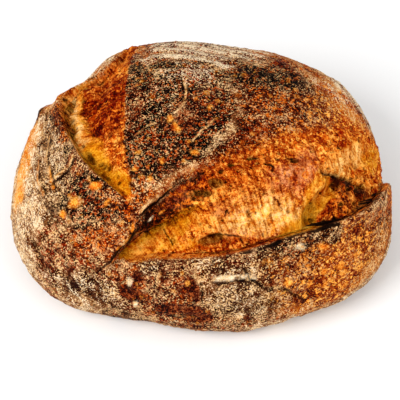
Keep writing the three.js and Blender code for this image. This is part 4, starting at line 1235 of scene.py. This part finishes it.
def paint_relief(paint, form):
    """Paints shade into the pores, cracks, clefts and caves, pales the blisters, dusts the folds and rings,
    and lights the strands."""
    # painted shade: pores, cracks and the bottoms of clefts are blended towards black, as where shade falls
    # in them
    dark = form["pore"] * PORE_PAINTED_SHADE + form["crack"] * CRACK_PAINTED_SHADE + form["cleft"]
    dark = np.clip(dark, 0, MOST_PAINTED_SHADE)[:, None]
    paint[:, :6] = paint[:, :6] * (1 - dark) + dark * np.tile(linear("burnt"), 2)
    # painted shade in the caves: their insides are blended towards a dark olive, most under the overhanging
    # side
    shade = (CAVE_PAINTED_SHADE * form["cave"])[:, None]
    paint[:, :6] = paint[:, :6] * (1 - shade) + shade * np.tile(linear("olive") * CAVE_SHADE, 2)
    paler = (smooth(0.35, 0.7, form["blister"]) * np.clip(paint[:, BAKE] * 1.9 - 0.35, 0, 0.8))[:, None]
    paint[:, :3] = paint[:, :3] * (1 - paler) + paler * linear("pale amber")
    paint[:, FLOUR:BAKE] *= 1 - BLISTER_BARE * paler
    paint[:, FLOUR] += FOLD_FLOUR * form["fold"]
    paint[:, SPECKS] -= FOLD_SPECKS * form["fold"]
    behind = smooth(20, 50, form["seen"][1]) * (1 - form["crumb"])
    paint[:, FLOUR] += RING_FLOUR * form["rings"] * smooth(0.3, 0.5, paint[:, FLOUR]) * behind
    strand_light = (1 + STRAND_LIGHT * form["strand"] * form["crumb"])[:, None]
    paint[:, :6] = np.clip(paint[:, :6] * strand_light, 0, 1)
    return paint


# %% [markdown]
# ## Building the mesh
#
# The grid becomes quads, and a fan of triangles closes the flat base. The colours go onto the points as
# attributes, which a material reads by name. A UV map lays the disc of the crust into a square, so that
# the finish can also be baked into one picture, with the base in a corner of its own.


# %% From arrays to an object
def grid_faces(rows, columns):
    """Quads of a grid of points, each as its four corners in turn."""
    start = (np.arange(rows - 1)[:, None] * columns + np.arange(columns - 1)).ravel()
    return np.stack([start, start + 1, start + columns + 1, start + columns], axis=-1)


def rim_of_grid(rows, columns):
    """The grid's border, once round: along the first row, up the last column, and back."""
    across, up = np.arange(columns - 1), np.arange(rows - 1)
    last = columns - 1
    back = (rows - 1) * columns
    return np.concatenate([across, last + up * columns, back + last - across, back - up * columns])


def make_mesh(name, points, quads, triangles):
    """A mesh of quads and then triangles, smooth shaded."""
    mesh = bpy.data.meshes.new(name)
    mesh.vertices.add(len(points))
    mesh.vertices.foreach_set("co", (points * MM).astype(np.float32).ravel())
    corners = np.concatenate([quads.ravel(), triangles.ravel()]).astype(np.int32)
    sizes = np.concatenate([np.full(len(quads), 4), np.full(len(triangles), 3)])
    mesh.loops.add(len(corners))
    mesh.loops.foreach_set("vertex_index", corners)
    mesh.polygons.add(len(sizes))
    starts = np.concatenate([[0], np.cumsum(sizes)[:-1]])
    mesh.polygons.foreach_set("loop_start", starts.astype(np.int32))
    mesh.update(calc_edges=True)
    mesh.validate()
    mesh.polygons.foreach_set("use_smooth", np.ones(len(sizes), bool))
    return mesh


def add_attribute(mesh, name, kind, values):
    """Values for a mesh's points: numbers, or vectors, or colours without their fourth number."""
    if kind == "FLOAT_COLOR":
        values = np.concatenate([values, np.ones((len(values), 1))], axis=1)
    field = {"FLOAT": "value", "FLOAT_VECTOR": "vector", "FLOAT_COLOR": "color"}[kind]
    made = mesh.attributes.new(name, kind, "POINT")
    made.data.foreach_set(field, values.astype(np.float32).ravel())


def dress(name, form, points, rows, columns, closing_point):
    """A closed object: the grid, and a fan from its border to the closing point, painted all over."""
    border = rim_of_grid(rows, columns)
    fan = np.stack([np.roll(border, -1), border, np.full(len(border), len(points))], axis=-1)
    quads = grid_faces(rows, columns)
    mesh = make_mesh(name, np.concatenate([points, [closing_point]]), quads, fan)
    paint = paint_relief(paint_regions(form), form)
    paint = np.concatenate([paint, [paint_of_surface("front dust")]])
    add_attribute(mesh, "tint", "FLOAT_COLOR", paint[:, :3])
    add_attribute(mesh, "spot_tint", "FLOAT_COLOR", paint[:, 3:6])
    for column, share in enumerate(SHARES, 6):
        add_attribute(mesh, share, "FLOAT", paint[:, column])
    for mask in ("crumb", "crackle"):
        add_attribute(mesh, mask, "FLOAT", np.append(form[mask], 0))
    add_attribute(mesh, "fibre", "FLOAT_VECTOR", np.append(form["fibre"], [[0, 0, 0]], axis=0))
    dressed = bpy.data.objects.new(name, mesh)
    bpy.context.scene.collection.objects.link(dressed)
    print(f"{name}: {2 * len(quads) + len(fan)} triangles")
    return dressed


# %% The crust
loaf_crust = dress("loaf_crust", crust_form, crust_points, GRID, GRID, (-BOX_MIDDLE[0], -BOX_MIDDLE[1], 0))

# %% UV map of the crust
UV_KEPT = 150  # mm from the crown that keep their size; below, the crust is drawn together by half
UV_FULL = UV_KEPT + (REACH - UV_KEPT) / 2
HALF_SQUARE = 0.495  # of the square, which leaves a small margin
BASE_RADIUS = 0.08  # of the base's circle in the corner of the square
BASE_SPOT = 0.915  # its middle, both ways


def disc_uv(u, v):
    """Place in the square for a place on the map, a little inside its edges."""
    arc = np.hypot(u, v)
    reach = np.where(arc < UV_KEPT, arc, UV_KEPT + (arc - UV_KEPT) / 2)
    share = reach / np.maximum(arc, TINY) / UV_FULL * HALF_SQUARE
    return np.stack([0.5 + u * share, 0.5 + v * share], axis=-1)


def set_uv(dressed, uv_of_point, closing_uv):
    """Writes the UV map: the grid's from its points, and the closing fan's from the function given."""
    mesh = dressed.data
    corner_points = np.empty(len(mesh.loops), np.int32)
    mesh.loops.foreach_get("vertex_index", corner_points)
    uv = uv_of_point[corner_points]
    fan_start = np.argmax(corner_points == len(uv_of_point) - 1) // 4 * 4
    uv[fan_start:] = closing_uv(corner_points[fan_start:])
    mesh.uv_layers.new(name="OFBake").uv.foreach_set("vector", uv.astype(np.float32).ravel())


def base_uv(corners):
    """The base's circle, in the corner of the square."""
    flat = np.concatenate([crust_points, [[0, 0, 0]]])[corners, :2]
    return BASE_SPOT + flat / np.abs(crust_points[:, :2]).max() * BASE_RADIUS


set_uv(loaf_crust, np.concatenate([disc_uv(map_u, map_v), [[BASE_SPOT, BASE_SPOT]]]), base_uv)

# %% The torn crumb
CRUMB_PIECES = [  # name, cut, from and to along it, places along and across, hidden closing point in mm
    ("front_crumb", FRONT_CUT, -103, 144, 474, 206, (0, -20, 12)),
    ("side_crumb", SIDE_CUT, -111, 61, 330, 120, (-30, 0, 12)),
]
UV_MARGIN, UV_FOOT = 0.005, 0.02  # round the square, and below the grid, where the hidden fan lies
FAN_SQUEEZE = 0.01  # of the fan's height in the square


def crumb_skin(name, cut, start, end, count_along, count_across, closing_point):
    """One cut's crumb: its grid on the map, its skin with the border buried, and its UV map."""
    u, v = crumb_grid(cut, start, end, count_along, count_across)
    form = loaf_form(u, v)
    points = skin_places(u, v, form, smooth(0.5, 0, form["bare"]))
    skin = dress(name, form, points, count_across, count_along, closing_point)
    line_along = np.linspace(UV_MARGIN, 1 - UV_MARGIN, count_along)
    line_across = np.linspace(UV_FOOT, 1 - UV_MARGIN, count_across)
    square = np.stack([values.ravel() for values in np.meshgrid(line_along, line_across)], axis=-1)
    uv_of_point = np.concatenate([square, [[0.5, UV_MARGIN]]])
    set_uv(skin, uv_of_point, lambda corners: uv_of_point[corners] * (1, FAN_SQUEEZE))
    return skin


crumb_skins = [crumb_skin(*piece) for piece in CRUMB_PIECES]

# %% [markdown]
# ## Arithmetic on a material
#
# A material is a graph of nodes. Wiring it by hand hides what it computes, so a small class wraps one
# output socket and makes the Math nodes when it is added, multiplied or compared. Colours go through Mix
# nodes instead, because a Math node would turn them grey.


# %% Numbers and nodes
class Number:
    """A number that varies over the surface: one socket of a shader node."""

    def __init__(self, finish, socket):
        self.finish = finish
        self.socket = socket

    def math(self, operation, *values):
        return self.finish.node("ShaderNodeMath", dict(operation=operation), dict(enumerate(values)))

    def __add__(self, other):
        return self.math("ADD", self, other)

    def __sub__(self, other):
        return self.math("SUBTRACT", self, other)

    def __rsub__(self, other):
        return self.math("SUBTRACT", other, self)

    def __mul__(self, other):
        return self.math("MULTIPLY", self, other)

    def __abs__(self):
        return self.math("ABSOLUTE", self)

    __radd__ = __add__
    __rmul__ = __mul__


class Finish:
    """A material under construction."""

    def __init__(self, name):
        self.material = bpy.data.materials.new(name)
        self.material.use_nodes = True
        self.tree = self.material.node_tree
        self.shader = self.tree.nodes["Principled BSDF"]

    def node(self, kind, settings, inputs, output=0):
        """Adds a node: settings first, then the value or link of each named or numbered input."""
        made = self.tree.nodes.new(kind)
        for key, value in settings.items():
            setattr(made, key, value)
        for key, value in inputs.items():
            self.set_input(made.inputs[key], value)
        return Number(self, made.outputs[output])

    def set_input(self, socket, value):
        if isinstance(value, Number):
            self.tree.links.new(value.socket, socket)
        else:
            socket.default_value = value

    def place(self):
        return self.node("ShaderNodeTexCoord", {}, {}, "Object")

    def attribute(self, name, output="Fac"):
        return self.node("ShaderNodeAttribute", dict(attribute_name=name), {}, output)

    def vector_math(self, operation, first, second):
        return self.node("ShaderNodeVectorMath", dict(operation=operation), {0: first, 1: second})

    def noise(self, place, scale, detail, roughness=0.5):
        """Noise whose lumps are about one unit of the scaled place wide."""
        inputs = {"Vector": place, "Scale": scale, "Detail": detail, "Roughness": roughness}
        return self.node("ShaderNodeTexNoise", {}, inputs)

    def step(self, value, low, high):
        """Eased step from 0 at low to 1 at high."""
        inputs = {"Value": value, "From Min": low, "From Max": high}
        return self.node("ShaderNodeMapRange", dict(interpolation_type="SMOOTHSTEP"), inputs)

    def bound(self, value, low, high):
        """The value, kept between low and high."""
        return self.node("ShaderNodeClamp", {}, {"Value": value, "Min": low, "Max": high})

    def mix(self, share, first, second):
        """Colour that goes from the first to the second as the share goes from 0 to 1."""
        inputs = {0: share, 6: first, 7: second}
        return self.node("ShaderNodeMix", dict(data_type="RGBA", clamp_factor=True), inputs, 2)


def paint_of(colour, scale=1.0):
    return (*(linear(colour) * scale), 1.0)


# %% [markdown]
# ## The finish of the crust
#
# Close up, the crust is never one colour. Flour lies in short crooked flecks with black gaps between them,
# burnt specks and golden blisters break up the brown, and torn crumb has fine strands. Each of these is a
# sum of fine noises, cut off at a level that the painted shares set, so that a floury region is mostly
# flecks and a bare one has a few. The noises come in two kinds. Grains are the noise itself, brought to a
# mean of 0. Lines are high only where a noise crosses its middle, so they look crooked and thin.

# %% Grains and lines
MIDDLE = 0.5  # of every noise
GRAINS = {  # size in mm, detail, roughness, and how far this noise swings by itself
    "speck": (1.0, 2, 0.6, 0.064), "bead": (1.8, 1, 0.5, 0.093), "spread": (3.8, 2, 0.6, 0.064),
    "patch": (5.5, 2, 0.6, 0.064), "blotch": (14, 2, 0.6, 0.064),
}
LINES = {"crooked": (1.55, 1), "cracks": (2.2, 1), "worms": (3.6, 2)}  # size in mm, detail
LINE_MEAN, LINE_STEEP, LINE_SWING = 0.37, 5, 0.28  # of a noise folded at its middle

crust_finish = Finish("baked_crust")
spots, flour, film, specks, bake = [crust_finish.attribute(name) for name in SHARES]
crumb, crackle = [crust_finish.attribute(name) for name in ("crumb", "crackle")]
tint, spot_tint = [crust_finish.attribute(name, "Color") for name in ("tint", "spot_tint")]


def even(noise_output, swing):
    """Noise brought to a mean of 0 and a usual swing of 1."""
    return (noise_output - MIDDLE) * (1 / swing)


def lines(noise_output):
    """The same for crooked lines: high where a noise crosses its middle."""
    return (LINE_MEAN - abs(noise_output - MIDDLE) * LINE_STEEP) * (1 / LINE_SWING)


place = crust_finish.place()
layers = {"crackle": crackle}
for name, (size, detail, rough, usual) in GRAINS.items():
    layers[name] = even(crust_finish.noise(place, 1 / (size * MM), detail, rough), usual)
for name, (size, detail) in LINES.items():
    layers[name] = lines(crust_finish.noise(place, 1 / (size * MM), detail))
print(len(GRAINS), "grains and", len(LINES), "kinds of line")

# %% [markdown]
# ## Strands and rings
#
# Two layers follow the bread instead of running the same in all directions. The strands of the crumb are
# noise drawn out along the cut. The basket's cane leaves lines of flour in circles, so the place is first
# turned into a distance and an angle, and the noise is drawn out along the angle.

# %% Strands and rings
STRAND_SCALE = (0.55, 0.11, 1)  # lumps for each mm along the cut and up its slope
STRAND_SWING = 0.07
RING_CENTRE = ((RING_MIDDLE[0] - BOX_MIDDLE[0]) * MM, (RING_MIDDLE[1] - BOX_MIDDLE[1]) * MM, 0)
RING_WIDTH = 1.6  # mm of one line of flour
RING_BREAKS = 7  # lumps of the noise for each radian

fibre = crust_finish.attribute("fibre", "Vector")
strand_place = crust_finish.vector_math("MULTIPLY", fibre, STRAND_SCALE)
layers["streak"] = even(crust_finish.noise(strand_place, 1, 2), STRAND_SWING) * crumb

from_middle = crust_finish.vector_math("SUBTRACT", place, RING_CENTRE)
axes = {"Vector": from_middle}
east, north = [crust_finish.node("ShaderNodeSeparateXYZ", {}, axes, number) for number in (0, 1)]
squares = east * east + north * north
away = squares.math("SQRT", squares)
turned = east.math("ARCTAN2", east, north * -1)
ring_place = {"X": away * (1 / (RING_WIDTH * MM)), "Y": turned * RING_BREAKS}
round_place = crust_finish.node("ShaderNodeCombineXYZ", {}, ring_place)
layers["arcs"] = lines(crust_finish.noise(round_place, 1, 1))
print("layers:", ", ".join(layers))

# %% [markdown]
# ## Masks
#
# A mask adds up some layers, each with a weight, and is 1 where the sum is high. The usual swing of every
# sum is about 1, so the level at which it is cut off follows from the share that the mask should cover.

# %% Masks
MASKS = {  # share of what is painted, softness of the edges, and how much of each layer
    "flour": (0.78, 0.1, dict(crooked=0.6, arcs=0.4, speck=0.65, patch=0.14, crackle=0.15, blotch=0.24)),
    "spots": (1, 0.5, dict(bead=0.6, spread=0.55, speck=0.25)),
    "specks": (0.9, 0.15, dict(cracks=0.65, speck=0.45, bead=-0.2, crackle=-0.5)),
    "film": (1, 1.1, dict(patch=0.45, speck=0.3, worms=0.35, bead=0.25, blotch=0.25)),
    "slits": (0.08, 0.25, dict(streak=-1, patch=-0.3)),
}
SOFTER_CRUMB = 0.7  # added to the softness of the spots
LEVEL_SLOPE = 3.4  # how fast the level falls as the share grows
SOME = 0.1  # share below which a mask fades away


def covering(name, painted, softer=0):
    """1 where a mask's sum is high, over about the painted share of the surface."""
    factor, soft, weights = MASKS[name]
    pattern = sum(weight * layers[layer] for layer, weight in weights.items())
    share = painted * factor
    level = (MIDDLE - share) * LEVEL_SLOPE
    half = softer + soft
    return crust_finish.step(pattern, level - half, level + half) * crust_finish.step(share, 0, SOME)


flour_mask = covering("flour", flour)
spots_mask = covering("spots", spots, crumb * SOFTER_CRUMB)
specks_mask = covering("specks", specks)
film_mask = covering("film", film)
slits_mask = covering("slits", crumb * bake)
print("masks:", ", ".join(MASKS))

# %% [markdown]
# ## Colour
#
# Bread that bakes longer gets darker and redder at once, as a thicker glaze does: its colour is multiplied
# into itself. So the fine unevenness of the bake is a power to which the ground colour is raised, and only
# a little of it is plain light and dark. The film of flour, the cracks, the slits and the flecks of flour
# lie on top in that order.

# %% Colour
speck, bead, patch, blotch, streak = [layers[name] for name in ("speck", "bead", "patch", "blotch", "streak")]
DEPTH = dict(rate=-0.7, least=0.72, most=2.6)  # the power, and how it grows with a darker bake
LIGHT = dict(rate=0.35, least=0.4, most=1.5)
COVER = dict(film=0.62, specks=0.92, slits=0.8, flour=0.8, thick_flour=0.18)  # how much each one hides

fine = (bead * 0.3 + speck * 0.65) * (0.15 + bake * 0.9) * (1 - crumb * 0.35)
coarse = patch * (0.06 + bake * (0.2 + crumb * 0.1)) + blotch * 0.12
swing = fine + coarse + streak * (0.04 + bake * 0.32)
depth = crust_finish.bound(swing.math("EXPONENT", swing * DEPTH["rate"]), DEPTH["least"], DEPTH["most"])
light = crust_finish.bound(1 + swing * LIGHT["rate"], LIGHT["least"], LIGHT["most"])
ground = crust_finish.mix(spots_mask, tint, spot_tint)
glazed = crust_finish.node("ShaderNodeGamma", {}, {"Color": ground, "Gamma": depth})
baked = crust_finish.node("ShaderNodeVectorMath", dict(operation="SCALE"), {0: glazed, 3: light})
filmed = crust_finish.mix(film_mask * COVER["film"], baked, paint_of("thin flour"))
cracked = crust_finish.mix(specks_mask * COVER["specks"], filmed, paint_of("burnt", 0.6))
slitted = crust_finish.mix(slits_mask * COVER["slits"], cracked, paint_of("red brown", 0.8))
thick = crust_finish.step(flour + bead * 0.12 + patch * 0.05, 0.3, 0.8)
flour_colour = crust_finish.mix(thick, paint_of("toasted flour"), paint_of("flour"))
flour_cover = flour_mask * (COVER["flour"] + flour * COVER["thick_flour"])
floured = crust_finish.mix(flour_cover, slitted, flour_colour)
crust_finish.set_input(crust_finish.shader.inputs["Base Color"], floured)
print("the bake's power runs from", DEPTH["least"], "to", DEPTH["most"])

# %% [markdown]
# ## Roughness and fine relief
#
# Flour and torn crumb are matt, and bare crust a little less so. The same masks lift the surface through a
# Bump node: flour lies on top, cracks are cut in, and strands stand up in the crumb.

# %% Roughness and fine relief
BUMP_HEIGHT = 0.5  # mm
SHEEN = 0.02  # level of the mirror part: bread hardly shines

roughness = 0.62 + flour_mask * 0.3 + crumb * 0.15
height = flour_mask * 0.5 - specks_mask * 0.5 + bead * 0.12
height = height + speck * (0.15 - crumb * 0.06) + streak * (0.04 + bake * 0.35)
bump_inputs = {"Strength": 0.8, "Distance": BUMP_HEIGHT * MM, "Height": height}
bump = crust_finish.node("ShaderNodeBump", {}, bump_inputs)
crust_finish.set_input(crust_finish.shader.inputs["Roughness"], roughness)
crust_finish.set_input(crust_finish.shader.inputs["Normal"], bump)
crust_finish.shader.inputs["Specular IOR Level"].default_value = SHEEN
print("baked_crust:", len(crust_finish.tree.nodes), "nodes")

# %% Every skin gets it
for skin in [loaf_crust, *crumb_skins]:
    skin.data.materials.append(crust_finish.material)
    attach(skin, "root")
    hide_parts("loaf")

# %% [markdown]
# ## Floor, light and camera
#
# The loaf stands on a plain pale floor, in the soft light of a studio: one wide lamp high on the left,
# a weaker one on the right, and a bright room all round, so that even the deep cuts keep their colour.
# The camera looks down on it from the front, as one looks at bread on a table.

# %% Floor
FLOOR_HALF = 3.0  # metres
FLOOR_SHADE, FLOOR_ROUGHNESS = 0.86, 0.9
floor_mesh = bpy.data.meshes.new("floor")
corners = [(x * FLOOR_HALF, y * FLOOR_HALF, 0) for x, y in [(-1, -1), (1, -1), (1, 1), (-1, 1)]]
floor_mesh.from_pydata(corners, [], [(0, 1, 2, 3)])
floor = bpy.data.objects.new("floor", floor_mesh)
bpy.context.scene.collection.objects.link(floor)
floor_finish = Finish("pale_floor")
floor_finish.shader.inputs["Base Color"].default_value = (FLOOR_SHADE, FLOOR_SHADE, FLOOR_SHADE, 1)
floor_finish.shader.inputs["Roughness"].default_value = FLOOR_ROUGHNESS
floor_mesh.materials.append(floor_finish.material)


# %% Lights and room
LAMPS = [  # name, place and side in metres, watts
    ("key", (-0.8, -0.7, 1.1), 0.8, 18),
    ("fill", (1.1, -0.6, 0.8), 1.4, 8.5),
]
LAMP_AIM = Vector((0, 0, 0.04))  # m
ROOM_STRENGTH = 0.73


def soft_lamp(name, place, size, power):
    """A square lamp at a place, turned to the loaf."""
    light = bpy.data.lights.new(name, "AREA")
    light.shape = "SQUARE"
    light.size = size
    light.energy = power
    lamp = bpy.data.objects.new(name, light)
    lamp.location = place
    lamp.rotation_euler = (LAMP_AIM - Vector(place)).to_track_quat("-Z", "Y").to_euler()
    bpy.context.scene.collection.objects.link(lamp)
    return lamp


for lamp in LAMPS:
    soft_lamp(*lamp)
world = bpy.data.worlds.new("studio")
world.use_nodes = True
world.node_tree.nodes["Background"].inputs["Color"].default_value = (1, 1, 1, 1)
world.node_tree.nodes["Background"].inputs["Strength"].default_value = ROOM_STRENGTH
bpy.context.scene.world = world
bpy.context.scene.view_settings.view_transform = "Standard"

# %% Camera
CAMERA_TARGET = Vector((-0.001, -0.0214, 0.045))
CAMERA_ELEVATION = np.radians(52)
CAMERA_DISTANCE = 1.2  # m
LENS, SENSOR = 170.55, 36  # mm
camera_data = bpy.data.cameras.new("camera")
camera_data.lens = LENS
camera_data.sensor_width = SENSOR
camera = bpy.data.objects.new("camera", camera_data)
back = Vector((0, -np.cos(CAMERA_ELEVATION), np.sin(CAMERA_ELEVATION)))
camera.location = CAMERA_TARGET + CAMERA_DISTANCE * back
camera.rotation_euler = (-back).to_track_quat("-Z", "Y").to_euler()
bpy.context.scene.collection.objects.link(camera)
bpy.context.scene.camera = camera
